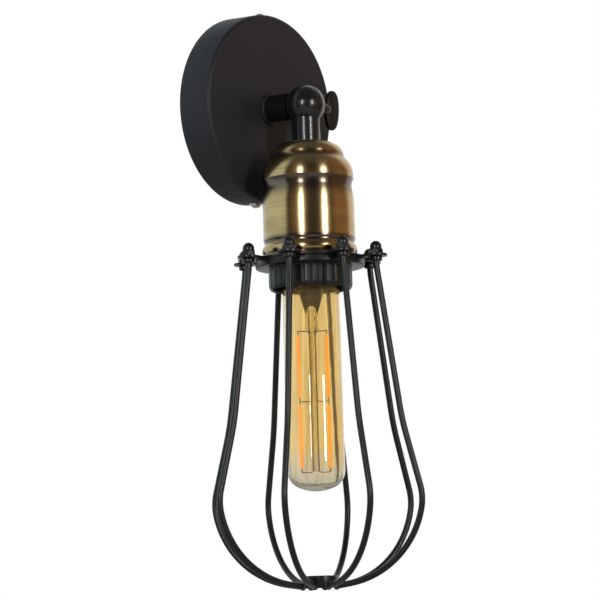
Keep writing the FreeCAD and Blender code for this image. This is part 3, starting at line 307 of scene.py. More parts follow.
def evenly(points: Array, step: float) -> Array:
    """A line with more points, so that no two are further apart than the step."""
    lengths = np.linalg.norm(np.diff(points, axis=0), axis=1)
    along = np.append(0, np.cumsum(lengths))
    wanted = np.linspace(0, along[-1], max(int(along[-1] / step), 1) + 1)
    every = np.union1d(along, wanted)
    keep = np.append(True, np.diff(every) > step * 0.02)
    every = every[keep]
    return np.stack([np.interp(every, along, column) for column in points.T], 1)


def turned(
    section: Array, sides: int = 96, closed: bool = True, ripple: Ripple | None = None
) -> Surface:
    """A section carried round the z axis: P(i, j) = (r cos t_j, r sin t_j, z_i).

    Here r = r_i + ripple(r_i, z_i, t_j).

    Args:
        section: points of radius and height.
        sides: the number of steps round the axis.
        closed: whether the section's last point joins its first.
        ripple: what to add to the radius, as a function of radius, height and angle.

    Returns:
        The surface.
    """
    radius, height = section[:, :1], section[:, 1:]
    angle = np.linspace(0, FULL_TURN, sides, endpoint=False)[None, :]
    far = radius + (ripple(radius, height, angle) if ripple else 0 * angle)
    points = np.stack([far * np.cos(angle), far * np.sin(angle), height + 0 * angle], -1)
    return Surface.on_grid(points, loop_rows=closed)


def tube_rings(path: Array, radii: Array, side: Array, sides: int) -> Array:
    """The rings of points of a round wire along a path, without its ends."""
    tangent = np.gradient(path, axis=0)
    tangent /= np.linalg.norm(tangent, axis=1, keepdims=True)
    normal = side - (tangent @ side)[:, None] * tangent
    normal /= np.linalg.norm(normal, axis=1, keepdims=True)
    across = np.cross(tangent, normal)
    angle = np.linspace(0, FULL_TURN, sides, endpoint=False)[None, :, None]
    ring = np.cos(angle) * normal[:, None] + np.sin(angle) * across[:, None]
    return path[:, None] + np.asarray(radii, float)[:, None, None] * ring


def swept(path: Array, radii: Array, side: Array, sides: int = 24) -> Surface:
    """A round section carried along a path: P(i, j) = c_i + r_i (cos t_j n_i + sin t_j b_i).

    n_i is the side direction made square to the path, and b_i = tangent x n_i. A pole closes
    each end.

    Args:
        path: the middle line, n x 3.
        radii: the radius at each of its points.
        side: a direction that the path never runs along.
        sides: the number of steps round it.

    Returns:
        The surface.
    """
    points = tube_rings(path, radii, side, sides)
    poles = [np.repeat(path[k][None, None], sides, 1) for k in (0, -1)]
    return Surface.on_grid(np.concatenate([poles[0], points, poles[1]]))


def round_ended(path: Array, radius: float, side: Array, sides: int = 20) -> Surface:
    """A wire with half-round ends: the radius falls to 0 as r sqrt(1 - s^2) past each end."""
    s = np.sin(np.linspace(math.pi / 2, 0, 6)[:-1])[:, None]
    first = (path[0] - path[1]) / np.linalg.norm(path[0] - path[1])
    last = (path[-1] - path[-2]) / np.linalg.norm(path[-1] - path[-2])
    line = np.concatenate(
        [path[0] + first * radius * s, path, path[-1] + last * radius * s[::-1]]
    )
    fall = np.sqrt(1 - s[:, 0] ** 2) * radius
    radii = np.concatenate([fall, np.full(len(path), radius), fall[::-1]])
    return swept(line, radii, side, sides)


def thread(depth: float, pitch: float, low: float, high: float, lead_in: float = 1.0) -> Ripple:
    """A round thread: dr = -depth (1 - cos(2 pi z / pitch - t)) / 2, fading in at both ends."""

    def ripple(radius: Array, height: Array, angle: Array) -> Array:
        wave = (1 - np.cos(FULL_TURN * height / pitch - angle)) / 2
        fade = np.clip((height - low) / lead_in, 0, 1) * np.clip((high - height) / lead_in, 0, 1)
        return -depth * wave * fade

    return ripple


# ---------------------------------------------------------------- shader work


class Nodes:
    """A node tree that is written one node at a time."""

    def __init__(self, tree: bpy.types.NodeTree) -> None:
        """Work on a tree."""
        self.tree = tree

    def add(self, kind: str, **inputs: object) -> bpy.types.Node:
        """A new node.

        Args:
            kind: the node's type, without its ShaderNode prefix.
            inputs: a property's value, or under a socket's name, with _ for a space, its value
                or the output that feeds it.

        Returns:
            The node.
        """
        node = self.tree.nodes.new(kind if kind.startswith("Node") else f"ShaderNode{kind}")
        for name, value in inputs.items():
            if hasattr(node, name) and name not in ("color", "width", "height"):
                setattr(node, name, value)
                continue
            socket = node.inputs[int(name[1:])] if name[0] == "s" and name[1:].isdigit() else (
                node.inputs[name.replace("_", " ")]
            )
            self.feed(socket, value)
        return node

    def feed(self, socket: bpy.types.NodeSocket, value: object) -> None:
        """Give a socket a value or a link."""
        if isinstance(value, bpy.types.NodeSocket):
            self.tree.links.new(value, socket)
        elif isinstance(value, tuple) and len(value) == 3 and socket.type == "RGBA":
            socket.default_value = (*value, 1)
        else:
            socket.default_value = value

    def ramp(self, factor: bpy.types.NodeSocket, stops: list, mode: str = "LINEAR") -> object:
        """A colour ramp's output, with stops of place and colour or value."""
        node = self.add("ValToRGB", Fac=factor)
        node.color_ramp.interpolation = mode
        elements = node.color_ramp.elements
        while len(elements) < len(stops):
            elements.new(0.5)
        for element, (place, tone) in zip(elements, stops):
            element.position = place
            element.color = (*tone, 1) if isinstance(tone, tuple) else (tone, tone, tone, 1)
        return node.outputs["Color"]

    def sum(self, operation: str, a: object, b: object = 0.5, c: object = 0.5) -> object:
        """A Math node's output."""
        return self.add("Math", operation=operation, s0=a, s1=b, s2=c).outputs[0]

    def mix(self, factor: object, a: object, b: object, blend: str = "MIX") -> object:
        """A mixed colour."""
        node = self.add("Mix", data_type="RGBA", blend_type=blend)
        for index, value in ((0, factor), (6, a), (7, b)):
            self.feed(node.inputs[index], value)
        return node.outputs[2]


def group(name: str, inputs: dict, outputs: dict, fill: Callable) -> bpy.types.NodeTree:
    """A shader node group with named inputs and outputs.

    Args:
        name: the group's name.
        inputs: the default of each input; a tuple of 3 is a colour.
        outputs: the socket type of each output.
        fill: a function of the tree, the inputs' node and a dict of the sockets to feed.

    Returns:
        The group, made once.
    """
    if name in bpy.data.node_groups:
        return bpy.data.node_groups[name]
    tree = bpy.data.node_groups.new(name, "ShaderNodeTree")
    for title, value in inputs.items():
        kind = "NodeSocketColor" if isinstance(value, tuple) else "NodeSocketFloat"
        socket = tree.interface.new_socket(title, in_out="INPUT", socket_type=kind)
        socket.default_value = (*value, 1) if isinstance(value, tuple) else value
    for title, kind in outputs.items():
        tree.interface.new_socket(title, in_out="OUTPUT", socket_type=f"NodeSocket{kind}")
    nodes = Nodes(tree)
    given = nodes.add("NodeGroupInput").outputs
    taken = nodes.add("NodeGroupOutput").inputs
    for title, output in fill(nodes, given).items():
        nodes.feed(taken[title], output)
    return tree


def skin_group() -> bpy.types.NodeTree:
    """Handling marks: slow shifts of tone and gloss with fine scattered specks over them."""

    def fill(nodes: Nodes, given: object) -> dict:
        place = nodes.add("TexCoord").outputs["Object"]
        cloud = nodes.add(
            "TexNoise", Vector=place, Scale=given["Cloud Scale"], Detail=5.0, Roughness=0.6
        ).outputs[0]
        speck = nodes.add("TexNoise", Vector=place, Scale=given["Speck Scale"], Detail=2.0)
        spot = nodes.ramp(speck.outputs[0], [(0.62, 0.0), (0.74, 1.0)])
        shade = nodes.sum("MULTIPLY_ADD", cloud, given["Amount"], 1.0)
        shade = nodes.sum("MULTIPLY_ADD", given["Amount"], -0.5, shade)
        toned = nodes.add("VectorMath", operation="SCALE", s0=given["Colour"], Scale=shade)
        dusted = nodes.mix(
            nodes.sum("MULTIPLY", spot, given["Dust"]), toned.outputs[0], (0.30, 0.29, 0.28)
        )
        gloss = nodes.sum("MULTIPLY_ADD", cloud, given["Gloss Shift"], given["Roughness"])
        return {"Colour": dusted, "Roughness": gloss, "Mask": spot}

    return group(
        "handled_skin",
        {
            "Colour": (0.5, 0.5, 0.5),
            "Roughness": 0.4,
            "Amount": 0.3,
            "Gloss Shift": 0.1,
            "Dust": 0.02,
            "Cloud Scale": 90.0,
            "Speck Scale": 1400.0,
        },
        {"Colour": "Color", "Roughness": "Float", "Mask": "Float"},
        fill,
    )


def grain_group() -> bpy.types.NodeTree:
    """The fine orange peel of a coat of paint, as a height."""

    def fill(nodes: Nodes, given: object) -> dict:
        place = nodes.add("TexCoord").outputs["Object"]
        peel = nodes.add("TexNoise", Vector=place, Scale=given["Scale"], Detail=3.0).outputs[0]
        fine = nodes.sum("MULTIPLY", given["Scale"], 3.1)
        grit = nodes.add("TexVoronoi", Vector=place, Scale=fine).outputs[0]
        return {"Height": nodes.sum("MULTIPLY_ADD", grit, given["Grit"], peel)}

    return group("fine_grain", {"Scale": 900.0, "Grit": 0.3}, {"Height": "Float"}, fill)


def turning_group() -> bpy.types.NodeTree:
    """Fine lines round the lamp's axis, as a lathe and a brush leave them."""

    def fill(nodes: Nodes, given: object) -> dict:
        place = nodes.add("TexCoord").outputs["Object"]
        level = nodes.add("Mapping", vector_type="POINT", Vector=place)
        level.inputs["Rotation"].default_value = (math.radians(LAMP_TILT), 0, 0)
        parts = nodes.add("SeparateXYZ", Vector=level.outputs[0]).outputs
        height = nodes.sum("MULTIPLY", parts["Z"], given["Lines"])
        drift = nodes.add("TexNoise", Vector=place, Scale=60.0, Detail=1.0).outputs[0]
        coarse = nodes.add("TexNoise", noise_dimensions="2D", Scale=1.0, Detail=4.0, Roughness=0.75)
        spot = nodes.add("CombineXYZ", X=height, Y=nodes.sum("MULTIPLY", drift, 0.9))
        nodes.feed(coarse.inputs["Vector"], spot.outputs[0])
        fine = nodes.add("TexNoise", noise_dimensions="2D", Scale=3.7, Detail=2.0)
        nodes.feed(fine.inputs["Vector"], spot.outputs[0])
        lines = nodes.sum("MULTIPLY_ADD", fine.outputs[0], 0.5, coarse.outputs[0])
        return {"Height": lines, "Mask": nodes.ramp(coarse.outputs[0], [(0.35, 0.0), (0.7, 1.0)])}

    return group("turning_lines", {"Lines": 2600.0}, {"Height": "Float", "Mask": "Float"}, fill)


def recess_shade_group() -> bpy.types.NodeTree:
    """Where the lampholder's recesses get dark oxide and painted shade, a painted reflection of the
    dark surroundings, by how far along it they lie.
    """

    def fill(nodes: Nodes, given: object) -> dict:
        place = nodes.add("TexCoord").outputs["Object"]
        tilt = math.radians(LAMP_TILT)
        axis = (0.0, -math.sin(tilt), -math.cos(tilt))
        along = nodes.add("VectorMath", operation="DOT_PRODUCT", s0=place, s1=axis)
        start = BALL_REACH * MM * math.sin(tilt)
        drift = nodes.add("TexNoise", Vector=place, Scale=220.0, Detail=3.0).outputs[0]
        level = nodes.sum("ADD", along.outputs["Value"], -start - 0.0215)
        level = nodes.sum("MULTIPLY_ADD", drift, 0.0012, level)
        share = nodes.sum("MULTIPLY", level, 1 / 0.06)
        low, high = given["Least"], given["Most"]
        # The bands at the cove, the seam and waist, the scored line and the foot are painted shade
        # and painted reflection over dark oxide.
        stops = [
            (0.00, 0.35), (0.035, 0.1), (0.085, 0.2), (0.125, 0.85), (0.150, 0.25), (0.17, 0.0),
            (0.300, 0.08), (0.322, 0.2), (0.330, 1.0), (0.42, 0.80), (0.50, 0.15), (0.60, 0.0),
            (0.825, 0.10), (0.845, 0.9), (0.888, 0.9), (0.898, 0.0), (0.965, 0.0), (0.98, 0.6),
        ]
        mask = nodes.ramp(share, stops)
        reach = nodes.add("MapRange", Value=mask)
        nodes.feed(reach.inputs["To Min"], low)
        nodes.feed(reach.inputs["To Max"], high)
        return {"Mask": reach.outputs[0]}

    return group("oxide_and_painted_shade_bands", {"Least": 0.0, "Most": 0.9}, {"Mask": "Float"}, fill)


@dataclass(frozen=True)
class Finish:
    """A finish's name and the values that its material sets directly."""

    name: str
    colour: tuple[float, float, float]
    roughness: float = 0.4
    metallic: float = 0.0
    coat: float = 0.0
    coat_roughness: float = 0.1
    specular: float = 0.5
    amount: float = 0.3
    gloss_shift: float = 0.1
    dust: float = 0.0
    cloud_scale: float = 90.0
    grain_scale: float = 900.0
    grit: float = 0.3
    depth: float = 0.0
    lines: float = 0.0
    line_depth: float = 0.0
    anisotropic: float = 0.0
    grain_turn: float = 0.25

    def material(self) -> bpy.types.Material:
        """The finish's material, made once. A name that is taken gives what is there."""
        if self.name in bpy.data.materials:
            return bpy.data.materials[self.name]
        material = bpy.data.materials.new(self.name)
        material.use_nodes = True
        material.node_tree.nodes.clear()
        nodes = Nodes(material.node_tree)
        shader = nodes.add("BsdfPrincipled")
        self.set_values(shader)
        self.wire(nodes, shader)
        output = nodes.add("OutputMaterial")
        nodes.feed(output.inputs["Surface"], self.surface(nodes, shader))
        return material

    def set_values(self, shader: bpy.types.Node) -> None:
        """Set the values that are the same all over."""
        for title, value in (
            ("Metallic", self.metallic),
            ("Coat Weight", self.coat),
            ("Coat Roughness", self.coat_roughness),
            ("Specular IOR Level", self.specular),
            ("Anisotropic", self.anisotropic),
            ("Anisotropic Rotation", self.grain_turn),
        ):
            shader.inputs[title].default_value = value

    def wire(self, nodes: Nodes, shader: bpy.types.Node) -> None:
        """Link what changes over the surface: colour, gloss and relief."""
        skin = nodes.add(
            "Group",
            node_tree=skin_group(),
            Colour=self.colour,
            Roughness=self.roughness,
            Amount=self.amount,
            Gloss_Shift=self.gloss_shift,
            Dust=self.dust,
            Cloud_Scale=self.cloud_scale,
        )
        nodes.feed(shader.inputs["Base Color"], skin.outputs["Colour"])
        nodes.feed(shader.inputs["Roughness"], skin.outputs["Roughness"])
        relief = None
        if self.depth:
            grain = nodes.add(
                "Group", node_tree=grain_group(), Scale=self.grain_scale, Grit=self.grit
            )
            relief = nodes.add(
                "Bump", Height=grain.outputs["Height"], Distance=self.depth * MM, Strength=1.0
            )
        if self.line_depth:
            lines = nodes.add("Group", node_tree=turning_group(), Lines=self.lines)
            over = nodes.add(
                "Bump", Height=lines.outputs["Height"], Distance=self.line_depth * MM, Strength=1.0
            )
            if relief:
                nodes.feed(over.inputs["Normal"], relief.outputs[0])
            relief = over
        if relief:
            nodes.feed(shader.inputs["Normal"], relief.outputs[0])
        if self.anisotropic:
            tangent = nodes.add("Tangent", direction_type="UV_MAP", uv_map="surface")
            nodes.feed(shader.inputs["Tangent"], tangent.outputs[0])

    def surface(self, nodes: Nodes, shader: bpy.types.Node) -> bpy.types.NodeSocket:
        """The shader that the material ends in."""
        return shader.outputs[0]


@dataclass(frozen=True)
class AgedBrass(Finish):
    """Turned brass, darkened and brushed back, browner where the brush didn't reach, with painted
    shade in its recesses.
    """

    patina: tuple[float, float, float] = (0.20, 0.11, 0.045)
    # A dark blue-grey for oxide and painted shade in the recesses.
    oxide_and_painted_shade: tuple[float, float, float] = (0.075, 0.068, 0.070)

    def wire(self, nodes: Nodes, shader: bpy.types.Node) -> None:
        """The plain finish, with patina in clouds and along the lines, and oxide with painted shade
        in recesses.
        """
        super().wire(nodes, shader)
        recess_shade = nodes.add("Group", node_tree=recess_shade_group()).outputs["Mask"]
        skin = next(n for n in nodes.tree.nodes if n.type == "GROUP" and "Colour" in n.inputs)
        lines = next(n for n in nodes.tree.nodes if n.type == "GROUP" and "Lines" in n.inputs)
        place = nodes.add("TexCoord").outputs["Object"]
        cloud = nodes.add("TexNoise", Vector=place, Scale=55.0, Detail=4.0).outputs[0]
        stain = nodes.ramp(cloud, [(0.42, 0.0), (0.75, 0.45)])
        streak = nodes.sum("MULTIPLY", lines.outputs["Mask"], 0.28)
        aged = nodes.mix(nodes.sum("ADD", stain, streak), skin.outputs["Colour"], self.patina)
        # Painted shade: the recess bands darken the colour the way the dark surroundings'
        # reflection would.
        nodes.feed(shader.inputs["Base Color"], nodes.mix(recess_shade, aged, self.oxide_and_painted_shade))


@dataclass(frozen=True)
class Glass(Finish):
    """Clear glass with a tint that thins out towards a level on the lamp."""

    clear: tuple[float, float, float] = (0.95, 0.94, 0.9)
    streak_tint: tuple[float, float, float] = (0.42, 0.25, 0.08)
    streaks: float = 0.0
    fade: tuple[float, float] = (-0.150, -0.200)
    ior: float = 1.45
    through: float = 1.0
    shadow: tuple[float, float, float] = (0.9, 0.85, 0.7)

    def set_values(self, shader: bpy.types.Node) -> None:
        """Set the values that are the same all over."""
        super().set_values(shader)
        shader.inputs["Transmission Weight"].default_value = self.through
        shader.inputs["IOR"].default_value = self.ior

    def wire(self, nodes: Nodes, shader: bpy.types.Node) -> None:
        """The tint by height, and the slow waves of drawn glass."""
        place = nodes.add("TexCoord").outputs["Object"]
        height = nodes.add("SeparateXYZ", Vector=place).outputs["Z"]
        level = nodes.add("MapRange", Value=height)
        level.inputs["From Min"].default_value = self.fade[1]
        level.inputs["From Max"].default_value = self.fade[0]
        tint = nodes.mix(level.outputs[0], self.clear, self.colour)
        stretch = nodes.add("Mapping", Vector=place)
        stretch.inputs["Scale"].default_value = (420.0, 420.0, 7.0)
        waves = nodes.add("TexNoise", Vector=stretch.outputs[0], Scale=1.0, Detail=3.0)
        streak = nodes.ramp(waves.outputs[0], [(0.38, 0.0), (0.62, 1.0)])
        share = nodes.sum("MULTIPLY", streak, self.streaks)
        nodes.feed(shader.inputs["Base Color"], nodes.mix(share, tint, self.streak_tint))
        gloss = nodes.sum("MULTIPLY_ADD", waves.outputs[0], self.gloss_shift, self.roughness)
        nodes.feed(shader.inputs["Roughness"], gloss)
        bump = nodes.add(
            "Bump", Height=waves.outputs[0], Distance=self.depth * MM, Strength=1.0
        )
        nodes.feed(shader.inputs["Normal"], bump.outputs[0])

    def surface(self, nodes: Nodes, shader: bpy.types.Node) -> bpy.types.NodeSocket:
        """The glass, which lets light for shadows straight through."""
        through = nodes.add("BsdfTransparent", Color=self.shadow)
        path = nodes.add("LightPath").outputs["Is Shadow Ray"]
        both = nodes.add("MixShader", Fac=path, s1=shader.outputs[0], s2=through.outputs[0])
        return both.outputs[0]


@dataclass(frozen=True)
class Phosphor(Finish):
    """The waxy orange coat of a filament stick, with a painted glow though the bulb is off."""

    painted_glow: float = 0.9

    def set_values(self, shader: bpy.types.Node) -> None:
        """Set the values that are the same all over."""
        super().set_values(shader)
        # Painted glow: the sticks shine with their own colour though the bulb is off.
        shader.inputs["Emission Strength"].default_value = self.painted_glow

    def wire(self, nodes: Nodes, shader: bpy.types.Node) -> None:
        """The plain finish, with its colour also in the painted glow."""
        super().wire(nodes, shader)
        colour = shader.inputs["Base Color"].links[0].from_socket
        nodes.feed(shader.inputs["Emission Color"], colour)


@dataclass(frozen=True)
class Striped(Finish):
    """Two-coloured insulation, in stripes along the lead."""

    second: tuple[float, float, float] = (0.75, 0.62, 0.05)

    def wire(self, nodes: Nodes, shader: bpy.types.Node) -> None:
        """The plain finish with stripes."""
        super().wire(nodes, shader)
        skin = next(n for n in nodes.tree.nodes if n.type == "GROUP")
        place = nodes.add("TexCoord").outputs["Object"]
        x = nodes.add("SeparateXYZ", Vector=place).outputs["X"]
        wave = nodes.sum("SINE", nodes.sum("MULTIPLY", x, 2600.0))
        stripe = nodes.sum("GREATER_THAN", wave, 0.1)
        both = nodes.mix(stripe, skin.outputs["Colour"], self.second)
        nodes.feed(shader.inputs["Base Color"], both)


MATT_BLACK = Finish(
    "matt_black_powder", (0.0112, 0.0114, 0.0142), roughness=0.5, specular=0.36, amount=0.25,
    gloss_shift=0.08, dust=0.03, grain_scale=1500.0, depth=0.012,
)
GLOSS_BLACK = Finish(
    "gloss_black_enamel", (0.0055, 0.0055, 0.0062), roughness=0.27, coat=0.25, coat_roughness=0.12,
    specular=0.4, amount=0.3, gloss_shift=0.05, dust=0.02, grain_scale=500.0, depth=0.006,
)
SATIN_BLACK = Finish(
    "satin_black_enamel", (0.006, 0.006, 0.0068), roughness=0.3, coat=0.08, coat_roughness=0.2,
    specular=0.32, amount=0.35, gloss_shift=0.08, dust=0.04, grain_scale=700.0, depth=0.008,
)
PHENOLIC = Finish(
    "black_phenolic", (0.007, 0.0068, 0.0065), roughness=0.3, coat=0.08, coat_roughness=0.12,
    specular=0.3, amount=0.4, gloss_shift=0.1, dust=0.05, grain_scale=400.0, depth=0.006,
)
# The names black_moulding and white_nylon are taken by the frame's own materials, so
# holder_core and terminal_block keep those.
BLACK_MOULDING = Finish(
    "black_moulding", (0.016, 0.016, 0.016), roughness=0.45, amount=0.3, dust=0.06, depth=0.01
)
AGED_BRASS = AgedBrass(
    "aged_turned_brass", (0.56, 0.42, 0.19), roughness=0.19, metallic=1.0, amount=0.25,
    gloss_shift=0.1, cloud_scale=60.0, lines=1100.0, line_depth=0.022, anisotropic=0.7,
)
PLAIN_BRASS = Finish(
    "plain_brass", (0.72, 0.53, 0.22), roughness=0.25, metallic=1.0, amount=0.2, depth=0.004
)
ZINC = Finish(
    "zinc_plate", (0.56, 0.57, 0.58), roughness=0.3, metallic=1.0, amount=0.35, gloss_shift=0.15,
    cloud_scale=260.0, grain_scale=1200.0, depth=0.004,
)
NICKEL = Finish(
    "nickel_plate", (0.72, 0.69, 0.62), roughness=0.18, metallic=1.0, amount=0.15, depth=0.003
)
NYLON = Finish(
    "white_nylon", (0.78, 0.77, 0.72), roughness=0.42, amount=0.08, dust=0.02, depth=0.006
)
BROWN_LEAD = Finish("brown_insulation", (0.14, 0.055, 0.022), roughness=0.42, depth=0.005)
BLUE_LEAD = Finish("blue_insulation", (0.03, 0.10, 0.42), roughness=0.42, depth=0.005)
EARTH_LEAD = Striped("earth_insulation", (0.06, 0.28, 0.05), roughness=0.42, depth=0.005)
AMBER_GLASS = Glass(
    "amber_bulb_glass", (0.96, 0.82, 0.49), roughness=0.0, gloss_shift=0.0, depth=0.03,
    fade=(-0.176, -0.196), clear=(0.80, 0.78, 0.68), through=0.95, streaks=0.25,
)
STEM_GLASS = Glass(
    "clear_stem_glass", (0.80, 0.72, 0.52), roughness=0.02, gloss_shift=0.05, depth=0.02, ior=1.5,
    clear=(0.95, 0.93, 0.88),
)
# The sticks' finish, with a painted glow.
PHOSPHOR = Phosphor(
    "orange_phosphor", (0.9, 0.24, 0.008), roughness=0.6, specular=0.2, amount=0.2, depth=0.01
)
IRON_WIRE = Finish(
    "iron_wire", (0.10, 0.085, 0.07), roughness=0.4, metallic=1.0, amount=0.4, depth=0.002
)
WELD = Finish(
    "blackened_weld", (0.012, 0.012, 0.013), roughness=0.4, amount=0.5, grain_scale=500.0,
    grit=0.8, depth=0.05,
)


# ---------------------------------------------------------------- pieces


def linked(name: str, data: bpy.types.ID) -> bpy.types.Object:
    """A new object in the scene."""
    made = bpy.data.objects.new(name, data)
    bpy.context.scene.collection.objects.link(made)
    return made


def make_piece(
    name: str,
    surface: Surface,
    finish: Finish,
    body: Body,
    nodes: tuple[str, ...] = (),
    crease: float = 35.0,
) -> bpy.types.Object:
    """A finished piece: its mesh in place, dressed, riding on its body.

    Args:
        name: the piece's name.
        surface: its surface, already in the light's frame, in millimetres.
        finish: its finish.
        body: the body that it moves with.
        nodes: the nodes of the frame that it stands for.
        crease: the angle from which its edges stay sharp.

    Returns:
        The object.
    """
    made = linked(name, surface.mesh(name, crease))
    made.data.materials.append(finish.material())
    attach(made, body.value)
    if nodes:
        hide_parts(*nodes)
    faces = len(surface.quads) * 2 + len(surface.tris)
    log.info("%-22s %6d triangles, %s", name, faces, finish.name)
    return made


def dress(node: str, finish: Finish) -> None:
    """Give a node of the frame a better material."""
    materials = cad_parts[node].data.materials
    materials.clear()
    materials.append(finish.material())
    log.info("%-22s kept, %s", node, finish.name)


@dataclass
class WallPlate:
    """The drawn cup on the wall, with what is fixed inside it."""

    radius: float = 50.0
    depth: float = 20.0
    wall: float = 1.2
    edge: float = 2.0
    hole: float = 5.2
    hems: float = 0.35

    def shell(self) -> Surface:
        """The cup's section: a flat face, a round front edge and a straight rim."""
        inner = self.radius - self.wall
        section = (
            Profile(self.hole, self.depth - self.wall, 0.2)
            .line(inner, self.depth - self.wall, self.edge - self.wall)
            .line(inner, 0, self.hems)
            .line(self.radius, 0, self.hems)
            .line(self.radius, self.depth, self.edge)
            .line(self.hole, self.depth, 0.2)
            .points(steps=9)
        )
        return turned(section, sides=256).placed(ON_WALL)

    def build(self) -> None:
        """Make the cup and dress the fittings behind it."""
        make_piece(
            "wall_cup", self.shell(), MATT_BLACK, Body.WALL, ("wall_plate",)
        )
        for node, finish in (
            ("mounting_bracket", ZINC),
            ("side_screws", NICKEL),
            ("terminal_block", NYLON),
            ("terminal_screws", ZINC),
            ("fixing_screw", ZINC),
            ("earth_screw", PLAIN_BRASS),
            ("earth_washer", PLAIN_BRASS),
            ("live_lead", BROWN_LEAD),
            ("neutral_lead", BLUE_LEAD),
            ("arm_lock_washer", ZINC),
            ("arm_nut", ZINC),
            ("earth_tag", ZINC),
            ("earth_lead", EARTH_LEAD),
        ):
            dress(node, finish)


@dataclass
class Arm:
    """The level arm: washer, nipple, the far half of the split ball and its screw."""

    reach: float = BALL_REACH
    plate_depth: float = 20.0
    radius: float = 7.25
    washer_radius: float = 8.5
    washer_thickness: float = 1.2
    ball: float = 10.4
    split: float = 0.3
    room: float = 0.4
    spot_radius: float = 4.8
    spot_height: float = 8.9
    hole: float = 5.05
    tube_ends: tuple[float, float] = (11.8, 28.2)
    screw_radius: float = 2.5

    def washer(self) -> Surface:
        """The thin ring between the wall plate and the arm."""
        top = self.plate_depth + self.washer_thickness
        section = (
            Profile(self.hole, self.plate_depth)
            .line(self.washer_radius, self.plate_depth, 0.15)
            .line(self.washer_radius, top, 0.4)
            .line(self.hole, top)
            .points()
        )
        return turned(section).placed(ON_WALL)

    def nipple(self) -> Surface:
        """A tube with a fine thread: dr = -0.3 (1 - cos(2 pi z - t)) / 2."""
        low, high = self.tube_ends
        outside = np.linspace(low + 0.4, high - 0.4, 120)
        section = np.concatenate(
            [
                [[3.8, low], [4.6, low]],
                np.stack([np.full(120, 5.0), outside], 1),
                [[4.6, high], [3.8, high]],
            ]
        )
        wave = thread(0.3, 1.0, low, high, 0.6)

        def ripple(radius: Array, height: Array, angle: Array) -> Array:
            return np.where(radius > 4.9, wave(radius, height, angle), 0)

        return turned(section, 64, ripple=ripple).placed(ON_WALL)

    def half_ball(self, side: int, spotted: bool) -> Surface:
        """Half a ball about the x axis, with a rounded rim at the split.

        Args:
            side: 1 for the half on +x and -1 for the half on -x.
            spotted: whether it has the flat seat for the spring washer.

        Returns:
            The surface, about the ball's centre.
        """
        rim = math.sqrt(self.ball**2 - self.split**2)
        half = Profile(self.screw_radius, self.split).line(rim, self.split, 0.22)
        if spotted:
            top = math.sqrt(self.ball**2 - self.spot_radius**2)
            half.bow(self.spot_radius, top, self.ball, 48)
            half.line(self.spot_radius, self.spot_height).line(self.screw_radius, self.spot_height)
        else:
            half.bow(0.0, self.ball, self.ball, 56)
            half.line(0.0, self.split)
            half.corners[0][0, 0] = 0.0
        section = half.points()
        return turned(section, 128, closed=spotted).placed(turn("Y", 90 * side))

    def leg(self, side: int, radius: float, length: float) -> Surface:
        """The round leg under the ball, hollowed to clear the other half.

        Sections square to x: half width w = sqrt(r^2 - x^2), and the top follows
        z = -sqrt(R^2 - x^2 - y^2), with R just inside its own half and clear of the other.

        Args:
            side: the half that the leg belongs to.
            radius: the leg's radius.
            length: how far below the ball's centre it ends.

        Returns:
            The surface, with the leg along -z.
        """
        turns = np.linspace(math.pi, 0, 72)
        x = -radius * np.cos(turns)
        own = self.ball - 0.06
        clear = self.ball + self.room
        gap = side * self.split
        stations = np.sort(np.concatenate([x, [gap, gap]]))
        count = int(np.searchsorted(stations, gap))
        is_own = np.zeros(len(stations), bool)
        if side > 0:
            is_own[count + 1 :] = True
        else:
            is_own[: count + 1] = True
        width = np.sqrt(np.maximum(radius**2 - stations**2, 0))
        across = np.sin(np.linspace(-math.pi / 2, math.pi / 2, 41))[None, :]
        y = across * width[:, None]
        far = np.where(is_own, own, clear)[:, None]
        top = -np.sqrt(np.maximum(far**2 - stations[:, None] ** 2 - y**2, 0))
        base = np.full_like(top, -length)
        xs = np.repeat(stations[:, None], y.shape[1], 1)
        lower = np.stack([xs, y, base], -1)
        upper = np.stack([xs, y, top], -1)[:, ::-1]
        return Surface.on_grid(np.concatenate([lower, upper], 1))

    def spring_washer(self) -> Surface:
        """A split ring whose ends stand apart: x = x0 + h t / 2 pi, for a turn less its gap."""
        t = np.linspace(0.06, FULL_TURN - 0.06, 72)
        path = np.stack([9.35 + 0.12 * t / FULL_TURN, 3.5 * np.cos(t), 3.5 * np.sin(t)], 1)
        inward = np.stack([0 * t, np.cos(t), np.sin(t)], 1)
        corner = np.array([[-1, -1], [1, -1], [1, 1], [-1, 1]]) * np.array([[0.39, 0.8]])
        loop = rounded(corner.astype(float), np.full(4, 0.12), 3, closed=True)
        along = np.array([1.0, 0, 0])
        rows = path[:, None] + loop[None, :, :1] * along + loop[None, :, 1:] * inward[:, None]
        poles = [np.repeat(path[k][None, None], loop.shape[0], 1) for k in (0, -1)]
        return Surface.on_grid(np.concatenate([poles[0], rows, poles[1]]))

    def build(self) -> None:
        """Make the arm's pieces."""
        make_piece(
            "arm_collar", self.washer(), MATT_BLACK, Body.WALL, ("arm_washer",)
        )
        make_piece("arm_tube", self.nipple(), ZINC, Body.WALL, ("arm_nipple",))
        length = self.reach - self.plate_depth - self.washer_thickness
        leg = self.leg(1, self.radius, length).placed(turn("X", 90))
        # The leg runs from the ball towards the wall, along +y.
        ball = Surface.joined([self.half_ball(1, True), leg])
        make_piece(
            "arm_half_ball", ball.placed(AT_BALL), GLOSS_BLACK, Body.WALL, ("arm_knuckle",),
            32,
        )
        dress("friction_washer", ZINC)
        make_piece(
            "split_washer", self.spring_washer().placed(AT_BALL), ZINC, Body.WASHER,
            ("spring_washer",),
        )
        ThumbScrew().build()


